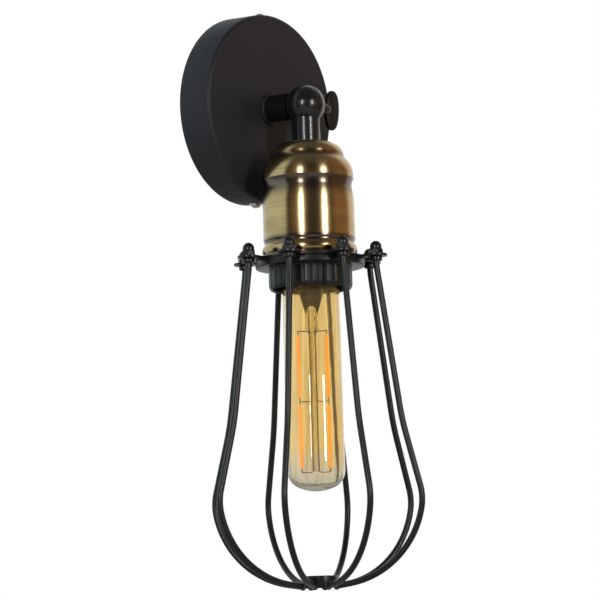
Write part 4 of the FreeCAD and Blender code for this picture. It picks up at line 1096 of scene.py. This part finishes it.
@dataclass
class ThumbScrew:
    """The screw through the ball, with its collar and flat oval head."""

    seat: float = 9.95
    collar_radius: float = 3.5
    collar_length: float = 7.6
    height: float = 21.2
    width: float = 10.4
    thickness: float = 2.6
    edge: float = 0.95
    fullness: float = 2.25

    def stem(self) -> Surface:
        """The shank and the collar, with a slight waist under the head."""
        end = self.seat + self.collar_length
        section = (
            Profile(0.0, -7.0)
            .line(2.1, -7.0)
            .line(2.5, -6.6)
            .line(2.5, self.seat, 0.1)
            .line(self.collar_radius, self.seat, 0.35)
            .line(self.collar_radius, self.seat + 2.2, 0.5)
            .bow(2.75, end + 0.6, 22.0, 10)
            .line(0.0, end + 1.2)
            .points(closed=False)
        )
        return turned(section, 64, closed=False).placed(turn("Y", 90))

    def head(self) -> Surface:
        """A flat oval with round edges, in the plane of x and z.

        The outline is |x / a|^p + |z / b|^p = 1, drawn in by the edge's quarter circle as the
        thickness grows to its full value.
        """
        t = np.linspace(0, FULL_TURN, 120, endpoint=False)
        power = 2 / self.fullness
        cos = np.sign(np.cos(t)) * np.abs(np.cos(t)) ** power
        sin = np.sign(np.sin(t)) * np.abs(np.sin(t)) ** power
        turns = np.linspace(0, math.pi / 2, 8)
        inset = np.concatenate([[self.width / 2], self.edge * (1 - np.sin(turns))])
        rise = self.thickness / 2 - self.edge + self.edge * np.append(1, np.cos(turns))
        draw = np.concatenate([inset, inset[::-1]])[:, None]
        y = np.concatenate([rise, -rise[::-1]])[:, None]
        shrink = draw / (self.width / 2)
        a = self.width / 2 * (1 - shrink)
        b = np.where(shrink >= 1, 0, self.height / 2 - draw)
        points = np.stack([a * cos, y + 0 * cos, b * sin], -1)
        middle = self.seat + self.collar_length + self.width / 2 - 0.9
        return Surface.on_grid(points).placed(shift(middle, 0, 0))

    def build(self) -> None:
        """Make the screw."""
        screw = Surface.joined([self.stem(), self.head()]).placed(AT_BALL)
        make_piece(
            "oval_thumb_screw", screw, SATIN_BLACK, Body.THUMB, ("thumb_screw",)
        )


@dataclass
class Lampholder:
    """The neck, the turned brass shell and what is inside it."""

    neck_radius: float = 7.3
    neck: float = 21.0

    def cap(self) -> Surface:
        """The upper shell: a flat land, a dome, a cove and a wide convex band."""
        top = -self.neck
        section = (
            Profile(5.2, top)
            .line(5.2, top - 0.9)
            .line(13.15, top - 0.9)
            .bow(17.75, top - 5.6, -5.9)
            .line(19.25, top - 9.0)
            .line(20.9, top - 11.6)
            .line(21.9, top - 11.6)
            .line(21.9, top - 19.4)
            .line(23.95, top - 19.4, 0.3)
            .line(24.0, top - 17.8)
            .bow(20.6, top - 9.0, 12.2, 18)
            .bow(19.1, top - 5.6, -5.0, 10)
            .bow(14.1, top - 0.5, 6.8, 14)
            .line(13.9, top - 0.15, 0.15)
            .line(13.5, top, 0.15)
            .points()
        )
        return turned(section, 192).placed(ON_LAMP)

    def barrel(self) -> Surface:
        """The lower shell: a lip, a waist, a scored line, a bead and a flared foot."""
        top = -self.neck
        section = (
            Profile(20.9, top - 12.4)
            .line(20.9, top - 52.0)
            .bow(24.1, top - 58.6, -14.0)
            .line(24.5, top - 60.4)
            .line(25.4, top - 60.4, 0.2)
            .line(25.1, top - 59.3, 0.3)
            .line(24.15, top - 58.6, 0.1)
            .bow(24.0, top - 54.1, 3.9, 10)
            .bow(23.9, top - 51.2, -2.3, 8)
            .line(23.9, top - 33.0)
            .bow(22.9, top - 23.8, 45.0)
            .bow(23.7, top - 19.55, -9.0, 10)
            .line(23.5, top - 19.45)
            .line(21.85, top - 19.45)
            .line(21.85, top - 12.4)
            .points()
        )
        return turned(section, 192).placed(ON_LAMP)

    def build(self) -> None:
        """Make the lampholder."""
        arm = Arm()
        leg = arm.leg(-1, self.neck_radius, self.neck)
        half = Surface.joined([arm.half_ball(-1, False), leg])
        make_piece(
            "lamp_half_ball", half.placed(ON_LAMP), GLOSS_BLACK, Body.LAMP, ("lamp_knuckle",),
            32,
        )
        make_piece(
            "brass_dome", self.cap(), AGED_BRASS, Body.LAMP, ("brass_cap",), 28
        )
        make_piece(
            "brass_shell", self.barrel(), AGED_BRASS, Body.LAMP, ("brass_barrel",), 28
        )
        for node, finish in (
            ("holder_nipple", ZINC),
            ("holder_nut", ZINC),
            ("holder_core", BLACK_MOULDING),
            ("holder_terminals", PLAIN_BRASS),
            ("holder_terminal_screws", PLAIN_BRASS),
            ("screw_shell", PLAIN_BRASS),
            ("centre_contact", PLAIN_BRASS),
        ):
            dress(node, finish)


@dataclass
class ShadeRing:
    """The moulded ring that clamps the cage: flange, grooved skirt and plain bore."""

    top: float = -82.6
    height: float = 15.0
    flange_radius: float = 28.4
    flange_height: float = 3.6
    skirt_radius: float = 21.7
    bore_radius: float = 19.75
    chamfer: float = 1.6
    notches: int = 24
    notch_depth: float = 0.37
    notch_width: float = 0.5

    def ripple(self, radius: Array, height: Array, angle: Array) -> Array:
        """Notches down the skirt: dr = -depth exp(-(s / width)^2), s along the circle."""
        pitch = FULL_TURN / self.notches
        off = (np.mod(angle + pitch / 2, pitch) - pitch / 2) * self.skirt_radius
        low = self.top - self.flange_height - 0.8
        on = (radius > self.skirt_radius - 0.9) & (radius < self.skirt_radius + 0.1)
        fade = np.clip((low - height) / 0.5, 0, 1) * on
        return -self.notch_depth * np.exp(-((off / self.notch_width) ** 2)) * fade

    def body(self) -> Surface:
        """The ring's section, turned, with its notches."""
        foot = self.top - self.height
        skirt_top = self.top - self.flange_height
        down = np.linspace(skirt_top - 0.6, foot + self.chamfer, 14)
        profile = (
            Profile(self.bore_radius, self.top)
            .line(self.bore_radius, foot + 0.8)
            .line(self.bore_radius + 0.8, foot, 0.1)
            .line(self.skirt_radius - self.chamfer / 2, foot, 0.3)
            .line(self.skirt_radius, foot + self.chamfer)
        )
        for level in down[::-1][1:]:
            profile.line(self.skirt_radius, level)
        section = (
            profile.line(self.skirt_radius + 0.5, skirt_top)
            .line(self.flange_radius, skirt_top, 0.5)
            .line(self.flange_radius, self.top, 0.5)
            .points()
        )
        return turned(section, self.notches * 20, ripple=self.ripple).placed(ON_LAMP)

    def build(self) -> None:
        """Make the ring."""
        make_piece(
            "clamp_ring", self.body(), PHENOLIC, Body.LAMP, ("shade_ring",), 30
        )


@dataclass
class Cage:
    """The eared plate, its nuts, the eight bent ribs and the ring that gathers them."""

    ears: int = 8
    plate_top: float = -81.4
    thickness: float = 1.2
    plate_radius: float = 28.5
    hole_radius: float = 20.0
    ear_centre: float = 35.6
    ear_radius: float = 5.75
    ear_neck: float = 7.0
    nut_flats: float = 6.5
    nut_hex: float = 3.0
    nut_dome: float = 3.0
    nut_height: float = 6.9
    lock_radius: float = 3.15
    lock_height: float = 2.4
    rib_radius: float = 1.6
    corners: tuple = ((46.4, 84.7), (56.1, 123.9), (49.2, 161.6), (8.3, 168.0))
    bends: tuple = (14.0, 136.0, 27.0, 46.6)
    ring_radius: float = 9.3
    ring_wall: float = 1.5
    ring_top: float = -245.1
    ring_height: float = 6.2
    plate_edge: float = 0.22
    stud_radius: float = 1.5
    stud_reach: float = 4.7
    weld_size: tuple[float, float, float] = (1.0, 2.15, 2.1)
    weld_wander: float = 0.08

    def turns(self) -> Array:
        """The angle of each ear and rib round the lamp."""
        return (np.arange(self.ears) + 0.5) * 360 / self.ears

    def around(self, one: Surface) -> Surface:
        """A copy of a surface at each ear, set in the lamp's frame."""
        copies = [one.placed(ON_LAMP @ turn("Z", float(angle))) for angle in self.turns()]
        return Surface.joined(copies)

    def plate(self) -> bpy.types.Object:
        """A flat ring with a necked round ear for each rib, given its thickness by modifiers.

        The ring is P = (r cos t, r sin t). An ear is P = (x_i, v_j w(x_i)), where w is half
        the neck up to the ear's circle and then follows the circle to its tip.
        """
        half = self.ear_neck / 2
        spread = math.asin(half / self.plate_radius)
        pitch = FULL_TURN / self.ears
        neck_angles = np.linspace(-spread, spread, 9)
        rest = np.linspace(spread, pitch - spread, 15)[1:-1]
        one = np.concatenate([neck_angles, rest])
        angles = (pitch * (np.arange(self.ears) + 0.5)[:, None] + one[None]).ravel()
        radii = np.array([self.hole_radius, self.hole_radius + 4, self.plate_radius])[:, None]
        flat = np.zeros((3, len(angles)))
        ring = np.stack([radii * np.cos(angles), radii * np.sin(angles), flat], -1)
        start = math.asin(half / self.ear_radius)
        swing = np.linspace(math.pi - start, 0, 26)
        x = self.ear_centre + self.ear_radius * np.cos(swing)
        w = self.ear_radius * np.sin(swing)
        v = neck_angles / spread
        ear = np.stack([x[:, None] + 0 * v, w[:, None] * v, 0 * w[:, None] * v], -1)
        root = self.plate_radius * np.stack(
            [np.cos(neck_angles), np.sin(neck_angles), 0 * neck_angles], -1
        )
        ear = np.concatenate([root[None], ear])
        pieces = [Surface.on_grid(ring)]
        for angle in self.turns():
            pieces.append(Surface.on_grid(ear, loop_columns=False).placed(turn("Z", float(angle))))
        flat_plate = Surface.joined(pieces)
        maps = np.concatenate(
            [
                flat_plate.quad_map,
                np.concatenate([flat_plate.tri_map, flat_plate.tri_map[:, 2:]], 1),
            ]
        )
        tris = np.concatenate([flat_plate.tris, flat_plate.tris[:, 2:]], 1)
        whole = Surface.welded(flat_plate.points, np.concatenate([flat_plate.quads, tris]), maps)
        whole = whole.faced_up().placed(ON_LAMP @ shift(0, 0, self.plate_top))
        made = make_piece(
            "eared_plate", whole, SATIN_BLACK, Body.LAMP, ("cage_plate",)
        )
        solid = made.modifiers.new("thickness", "SOLIDIFY")
        solid.thickness = self.thickness * MM
        solid.offset = -1
        bevel = made.modifiers.new("edge", "BEVEL")
        bevel.width = self.plate_edge * MM
        bevel.segments = 2
        bevel.angle_limit = math.radians(40)
        return made

    def acorn(self) -> Surface:
        """A domed nut on the ear's centre.

        The hexagon is r = f / cos(t mod 60 - 30 degrees), cut by the cone of its bevel, and
        the dome is turned above it.
        """
        z = np.concatenate(
            [[0, 0, 0.25], np.linspace(0.4, self.nut_hex, 9), [self.nut_hex]]
        )
        flats = self.nut_flats / 2
        cap = np.concatenate(
            [
                [0, flats - 0.1, flats * 1.12],
                np.full(4, flats * 1.17),
                np.linspace(flats * 1.15, flats * 0.97, 5),
                [self.nut_dome],
            ]
        )
        crown = np.linspace(0, math.pi / 2, 14)
        straight = self.nut_height - self.nut_dome
        height = np.concatenate([z, straight + self.nut_dome * np.sin(crown)])
        limit = np.concatenate([cap, self.nut_dome * np.cos(crown)])
        t = np.linspace(0, FULL_TURN, 72, endpoint=False)
        fold = np.mod(t, math.pi / 3) - math.pi / 6
        hexagon = flats / np.cos(fold)
        far = np.minimum(hexagon[None], limit[:, None])
        points = np.stack([far * np.cos(t), far * np.sin(t), height[:, None] + 0 * t], -1)
        return Surface.on_grid(points).placed(shift(self.ear_centre, 0, self.plate_top))

    def lock_nut(self) -> Surface:
        """A low round nut with worn edges."""
        top = self.plate_top - self.thickness
        section = (
            Profile(1.55, top)
            .line(self.lock_radius, top, 0.3)
            .line(self.lock_radius, top - self.lock_height, 0.5)
            .line(1.55, top - self.lock_height)
            .points()
        )
        return turned(section, 40).placed(shift(self.ear_centre, 0, 0))

    def rib_line(self) -> Array:
        """The rib's middle line: straight runs with tangent arcs."""
        plate = self.plate_top - self.thickness
        shoulder = plate - self.lock_height
        fixed = [(self.ear_centre, 0, shoulder), (self.ear_centre, 0, shoulder - 2)]
        rest = [(r, 0, plate - drop) for r, drop in self.corners]
        corners = np.array(fixed + rest, float)
        return exact_arcs(corners, np.array(self.bends), 26)

    def rib(self) -> Surface:
        """A wire along the line, cut to the ring's outside at its lower end, with its stud."""
        line = self.rib_line()
        side = np.array([0.0, 1.0, 0.0])
        wire = tube_rings(line, np.full(len(line), self.rib_radius), side, 28)
        last = wire[-1]
        ahead = line[-1] - line[-2]
        ahead /= np.linalg.norm(ahead)
        outside = np.sqrt(np.maximum(self.ring_radius**2 - last[:, 1] ** 2, 0))
        reach = (outside - last[:, 0]) / ahead[0]
        wire[-1] = last + reach[:, None] * ahead
        keep = np.ones(len(wire), bool)
        keep[:-1] = wire[:-1].mean(1)[:, 0] > self.ring_radius + 2.6
        wire = wire[keep]
        end = np.repeat(wire[-1].mean(0)[None, None], wire.shape[1], 1)
        start = np.repeat(line[0][None, None], wire.shape[1], 1)
        body = Surface.on_grid(np.concatenate([start, wire, end]))
        top = self.plate_top + self.stud_reach
        low = self.plate_top - self.thickness - self.lock_height
        levels = np.linspace(low, top, 60)
        stud = np.stack([np.full(60, self.stud_radius), levels], 1)
        stud = np.concatenate([[[0, low]], stud, [[0, top]]])
        screw = turned(stud, 24, closed=False, ripple=stud_thread(low, top))
        return Surface.joined([body, screw.placed(shift(self.ear_centre, 0, 0))])

    def ring(self) -> Surface:
        """The short band, with a lump of weld round each rib's end."""
        low = self.ring_top - self.ring_height
        inner = self.ring_radius - self.ring_wall
        section = (
            Profile(inner, self.ring_top, 0.3)
            .line(inner, low, 0.3)
            .line(self.ring_radius, low, 0.45)
            .line(self.ring_radius, self.ring_top, 0.45)
            .points()
        )
        return turned(section, 96).placed(ON_LAMP)

    def weld(self) -> Surface:
        """Lumps where the ribs meet the band: ellipsoids whose radius wanders a little.

        P = m + k (a cos u cos v, b sin u cos v, c sin v), with
        k = 1 + wander sin(3u + 1) cos 2v cos v.
        """
        u = np.linspace(0, FULL_TURN, 28, endpoint=False)[None, :]
        v = np.linspace(-math.pi / 2, math.pi / 2, 15)[:, None]
        k = 1 + self.weld_wander * np.sin(3 * u + 1) * np.cos(2 * v) * np.cos(v)
        a, b, c = self.weld_size
        points = np.stack(
            [
                a * k * np.cos(u) * np.cos(v),
                b * k * np.sin(u) * np.cos(v),
                c * k * np.sin(v) + 0 * u,
            ],
            -1,
        )
        height = self.rib_line()[-1][2] + 0.25
        return Surface.on_grid(points).placed(shift(self.ring_radius + 0.15, 0, height))

    def build(self) -> None:
        """Make the cage."""
        self.plate()
        make_piece(
            "acorn_nut_set", self.around(self.acorn()), SATIN_BLACK, Body.LAMP, ("acorn_nuts",),
            40,
        )
        make_piece(
            "lock_nut_set", self.around(self.lock_nut()), SATIN_BLACK, Body.LAMP, ("lock_nuts",),
        )
        rib = self.rib()
        for i, angle in enumerate(self.turns(), 1):
            make_piece(
                f"bent_rib_{i}", rib.placed(ON_LAMP @ turn("Z", float(angle))), SATIN_BLACK,
                Body.LAMP, (f"cage_rib_{i}",), 50,
            )
        make_piece(
            "gather_ring", self.ring(), SATIN_BLACK, Body.LAMP, ("bottom_ring",)
        )
        make_piece("weld_beads", self.around(self.weld()), WELD, Body.LAMP, ())


def exact_arcs(corners: Array, bends: Array, steps: int) -> Array:
    """Straight runs with a tangent arc of the full stated radius at each inner corner."""
    radii = np.concatenate([[0], bends, [0]])
    before, after = corners[:-2] - corners[1:-1], corners[2:] - corners[1:-1]
    u = before / np.linalg.norm(before, axis=1, keepdims=True)
    v = after / np.linalg.norm(after, axis=1, keepdims=True)
    half = np.arccos(np.clip((u * v).sum(1, keepdims=True), -1, 1)) / 2
    reach = radii[1:-1, None] / np.tan(half)
    inner = corners[1:-1]
    arcs = tangent_arcs(inner + u * reach, inner, inner + v * reach, half, steps)
    return evenly(np.concatenate([corners[:1], arcs.reshape(-1, 3), corners[-1:]]), 4.0)


def stud_thread(low: float, high: float) -> Ripple:
    """The thread of a rib's stud."""
    return thread(0.22, 0.5, low, high, 0.4)


@dataclass
class Bulb:
    """The tubular bulb: glass, stem, filament sticks, wires and screw base."""

    tip: float = -202.0
    top: float = -62.0
    neck: float = -89.7
    neck_length: float = 3.5
    shoulder: float = 5.5
    neck_radius: float = 12.6
    radius: float = 14.9
    wall: float = 0.8
    corner: float = 8.5
    stem_radius: float = 1.9
    stick_turn: float = -50.0
    stick_offset: float = 7.4
    stick_radius: float = 0.8
    stick_length: float = 32.6
    stick_gap: float = 3.9
    stick_top: float = -121.0
    pitch: float = 3.629
    thread_radius: float = 13.2

    def glass(self) -> Surface:
        """The blown tube, with its drawn-in neck and round crown, inside and out."""
        wall = self.wall
        straight = self.neck - self.neck_length
        shoulder = straight - self.shoulder
        rim = self.tip + self.corner + 2.6
        section = (
            Profile(self.neck_radius, self.neck)
            .line(self.neck_radius, straight)
            .bow(self.radius, shoulder, 14.0, 12)
            .line(self.radius, rim)
            .bow(self.radius - 5.2, self.tip + 2.2, -(self.corner + 1.2), 14)
            .bow(0.0, self.tip, -24.0, 12)
            .line(0.0, self.tip + wall)
            .bow(self.radius - 5.5, self.tip + 2.2 + wall, 24.0 - wall, 12)
            .bow(self.radius - wall, rim, self.corner + 1.2 - wall, 14)
            .line(self.radius - wall, shoulder)
            .bow(self.neck_radius - wall, straight, -14.0, 12)
            .line(self.neck_radius - wall, self.neck)
            .points()
        )
        return turned(section, 128).placed(ON_LAMP)

    def base(self) -> Surface:
        """The thin screw base, closed over the glass neck, with its round thread."""
        top, low = self.top - 4.2, self.top - 29.2
        levels = np.linspace(low + 0.6, top - 3.2, 90)
        outside = np.stack([np.full(90, self.thread_radius), levels], 1)
        section = np.concatenate(
            [
                [[0, top - 1], [10.2, top - 1], [12.62, top - 4], [12.65, low], [13.1, low]],
                outside,
                [[12.6, top - 1.6], [10.6, top], [0, top]],
            ]
        )
        wave = thread(0.95, self.pitch, low + 1.5, top - 3.0, 2.0)

        def ripple(radius: Array, height: Array, angle: Array) -> Array:
            return np.where(radius > 13.15, wave(radius, height, angle), 0)

        return turned(section, 96, closed=False, ripple=ripple).placed(ON_LAMP)

    def stem(self) -> Surface:
        """The glass stem: flared mouth, pinch and long rod."""
        top = self.top - 28.2
        end = self.tip + 10
        pinch = self.top - 56
        mouth = self.neck_radius - self.wall - 0.05
        section = (
            Profile(0.0, end)
            .line(self.stem_radius, end, 0.9)
            .line(self.stem_radius, pinch - 3, 1.5)
            .line(self.stem_radius + 1.4, pinch, 1.5)
            .line(self.stem_radius + 1.4, pinch + 8, 2.5)
            .line(6.5, top - 9, 3.0)
            .line(7.5, top - 3, 2.0)
            .line(mouth, top - 1.2)
            .line(mouth, top)
            .line(0.0, top)
            .points(closed=False, steps=8)
        )
        return turned(section, 64, closed=False).placed(ON_LAMP)

    def sticks(self) -> Surface:
        """Four straight sticks with round ends, in two columns."""
        made = []
        for side in (1, -1):
            for row in (0, 1):
                high = self.stick_top - row * (self.stick_length + self.stick_gap)
                x = side * self.stick_offset
                ends = np.array(
                    [
                        [x, 0, high - self.stick_radius],
                        [x, 0, high - self.stick_length + self.stick_radius],
                    ]
                )
                line = evenly(ends, 3.0)
                made.append(round_ended(line, self.stick_radius, np.array([1.0, 0, 0])))
        return Surface.joined(made).placed(ON_LAMP @ turn("Z", self.stick_turn))

    def wires(self) -> Surface:
        """Thin wires: a pin at each stick's ends and bowed links to the stem.

        A link is P(s) = (x, 0, z - d sin(pi s)), s from 0 to 1 along it.
        """
        made = []
        s = np.linspace(0, 1, 16)
        foot = self.tip + 11
        side = np.array([0.0, 1.0, 0.0])
        for row in (0, 1, 2):
            height = self.stick_top + self.stick_gap / 2
            height -= row * (self.stick_length + self.stick_gap)
            for way in (1, -1):
                x = way * (self.stick_offset + (self.stem_radius - self.stick_offset) * s)
                dip = 0.28 * np.sin(math.pi * s)
                path = np.stack([x, 0 * s, height - dip], 1)
                made.append(round_ended(path, 0.25, side, 10))
                for up in (1, -1):
                    if (row == 0 and up > 0) or (row == 2 and up < 0):
                        continue
                    pin = np.array(
                        [
                            [way * self.stick_offset, 0, height],
                            [way * self.stick_offset, 0, height + up * self.stick_gap * 0.55],
                        ]
                    )
                    made.append(round_ended(pin, 0.3, side, 10))
        head = self.top - 50
        for way in (1, -1):
            spine = np.array([[way * 1.05, 0, head], [way * 1.05, 0, foot]])
            made.append(round_ended(evenly(spine, 3.0), 0.22, side, 8))
        return Surface.joined(made).placed(ON_LAMP @ turn("Z", self.stick_turn))

    def build(self) -> None:
        """Make the bulb."""
        make_piece(
            "glass_tube", self.glass(), AMBER_GLASS, Body.BULB, ("bulb_glass",), 60
        )
        make_piece(
            "threaded_base", self.base(), PLAIN_BRASS, Body.BULB, ("bulb_base",)
        )
        make_piece(
            "glass_stem", self.stem(), STEM_GLASS, Body.BULB, ("bulb_stem",), 60
        )
        make_piece(
            "orange_sticks", self.sticks(), PHOSPHOR, Body.BULB, ("filament_sticks",)
        )
        make_piece("stick_wires", self.wires(), IRON_WIRE, Body.BULB, ("support_wires",))
        dress("bulb_insulator", PHENOLIC)
        dress("bulb_contact", ZINC)


# ---------------------------------------------------------------- studio


@dataclass
class Studio:
    """Camera, lights, background and floor."""

    place: tuple = (-0.9912, -0.8704, -0.2148)
    right: tuple = (0.63982, -0.76829, 0.01882)
    up: tuple = (-0.07861, -0.04107, 0.99606)
    back: tuple = (-0.76449, -0.63878, -0.08667)
    lens: float = 149.56
    floor_height: float = -0.30
    floor_reach: float = 0.8
    aim: tuple[float, float, float] = (0, -0.043, -0.09)
    light_distance: float = 1.25
    lamps: tuple = (
        # name, degrees to the camera's right, degrees above it, watts, width, height
        ("left_softbox", -19.0, 17.0, 5.0, 0.11, 0.42),
        ("right_softbox", 41.0, 16.0, 6.0, 0.15, 0.42),
    )

    def camera(self) -> None:
        """The camera at the photograph's viewpoint."""
        data = bpy.data.cameras.new("camera")
        data.lens = self.lens
        data.sensor_width = 36.0
        data.clip_start, data.clip_end = 0.01, 50.0
        made = linked("camera", data)
        axes = Matrix([self.right, self.up, self.back]).transposed().to_4x4()
        made.matrix_world = Matrix.Translation(self.place) @ axes
        bpy.context.scene.camera = made

    def light(
        self, name: str, aside: float, above: float, power: float, width: float, height: float
    ) -> None:
        """A soft light on a sphere round the lamp, aimed at it."""
        right, up, back = (np.array(v) for v in (self.right, self.up, self.back))
        a, e = math.radians(aside), math.radians(above)
        way = math.cos(e) * (math.cos(a) * back + math.sin(a) * right) + math.sin(e) * up
        data = bpy.data.lights.new(name, "AREA")
        data.shape = "RECTANGLE"
        data.energy, data.size, data.size_y = power, width, height
        made = linked(name, data)
        made.location = Vector(np.array(self.aim) + way * self.light_distance)
        made.rotation_mode = "QUATERNION"
        made.rotation_quaternion = Vector(-way).to_track_quat("-Z", "Y")

    def world(self) -> None:
        """A white background, with a room round the camera that is darker and warmer.

        The room's tone is a function of the angle round the camera's upright,
        a = atan2(d . right, d . back), and of the height of the direction d.
        """
        world = bpy.data.worlds.new("studio")
        bpy.context.scene.world = world
        world.use_nodes = True
        world.node_tree.nodes.clear()
        nodes = Nodes(world.node_tree)
        way = nodes.add("TexCoord").outputs["Generated"]

        def along(axis: tuple) -> object:
            dot = nodes.add("VectorMath", operation="DOT_PRODUCT", s0=way, s1=axis)
            return dot.outputs["Value"]

        flat_right = np.array([self.right[0], self.right[1], 0])
        flat_back = np.array([self.back[0], self.back[1], 0])
        flat_right /= np.linalg.norm(flat_right)
        flat_back /= np.linalg.norm(flat_back)
        angle = nodes.sum("ARCTAN2", along(tuple(flat_right)), along(tuple(flat_back)))
        share = nodes.sum("MULTIPLY_ADD", angle, 1 / FULL_TURN, 0.5)
        white, cool = (1.0, 1.0, 1.0), (0.80, 0.92, 1.0)
        dark, warm = (0.045, 0.038, 0.036), (0.34, 0.21, 0.125)
        stops = [
            (0.0, white),
            (0.10, cool),
            (0.325, cool),
            (0.345, dark),
            (0.362, dark),
            (0.385, (0.22, 0.13, 0.075)),
            (0.43, (0.06, 0.045, 0.035)),
            (0.47, dark),
            (0.58, dark),
            (0.67, (0.12, 0.07, 0.04)),
            (0.70, warm),
            (0.82, warm),
            (0.845, (0.95, 0.90, 0.92)),
            (1.0, white),
        ]
        round_room = nodes.ramp(share, stops)
        rise = nodes.sum("MULTIPLY_ADD", along((0.0, 0.0, 1.0)), 0.5, 0.5)
        over = nodes.ramp(rise, [(0.80, 0.0), (0.97, 1.0)])
        room = nodes.mix(over, round_room, (0.12, 0.125, 0.135))
        inside = nodes.add("Background", Color=room, Strength=1.0)
        seen = nodes.add("Background", Color=white, Strength=1.0)
        camera_ray = nodes.add("LightPath").outputs["Is Camera Ray"]
        both = nodes.add("MixShader", Fac=camera_ray, s1=inside.outputs[0], s2=seen.outputs[0])
        output = nodes.add("OutputWorld")
        nodes.feed(output.inputs["Surface"], both.outputs[0])

    def floor(self) -> None:
        """A plain pale floor, below the light and short of the camera's view."""
        size = np.linspace(-self.floor_reach, self.floor_reach, 9) / MM
        x, y = np.meshgrid(size, size)
        points = np.stack([x, y, np.full_like(x, self.floor_height / MM)], -1)
        surface = Surface.on_grid(points, loop_columns=False).faced_up()
        made = linked("floor", surface.mesh("floor", 30))
        pale = Finish("pale_floor", (0.62, 0.62, 0.62), roughness=0.6, amount=0.02, depth=0.02)
        made.data.materials.append(pale.material())

    def build(self) -> None:
        """Set up the studio."""
        self.camera()
        for lamp in self.lamps:
            self.light(*lamp)
        self.world()
        self.floor()
        scene = bpy.context.scene
        scene.view_settings.view_transform = "Standard"
        scene.view_settings.look = "None"


def main() -> None:
    """Build the light and its studio."""
    Studio().build()
    for part in (WallPlate(), Arm(), Lampholder(), ShadeRing(), Cage(), Bulb()):
        part.build()


if __name__ == "__main__":
    main()
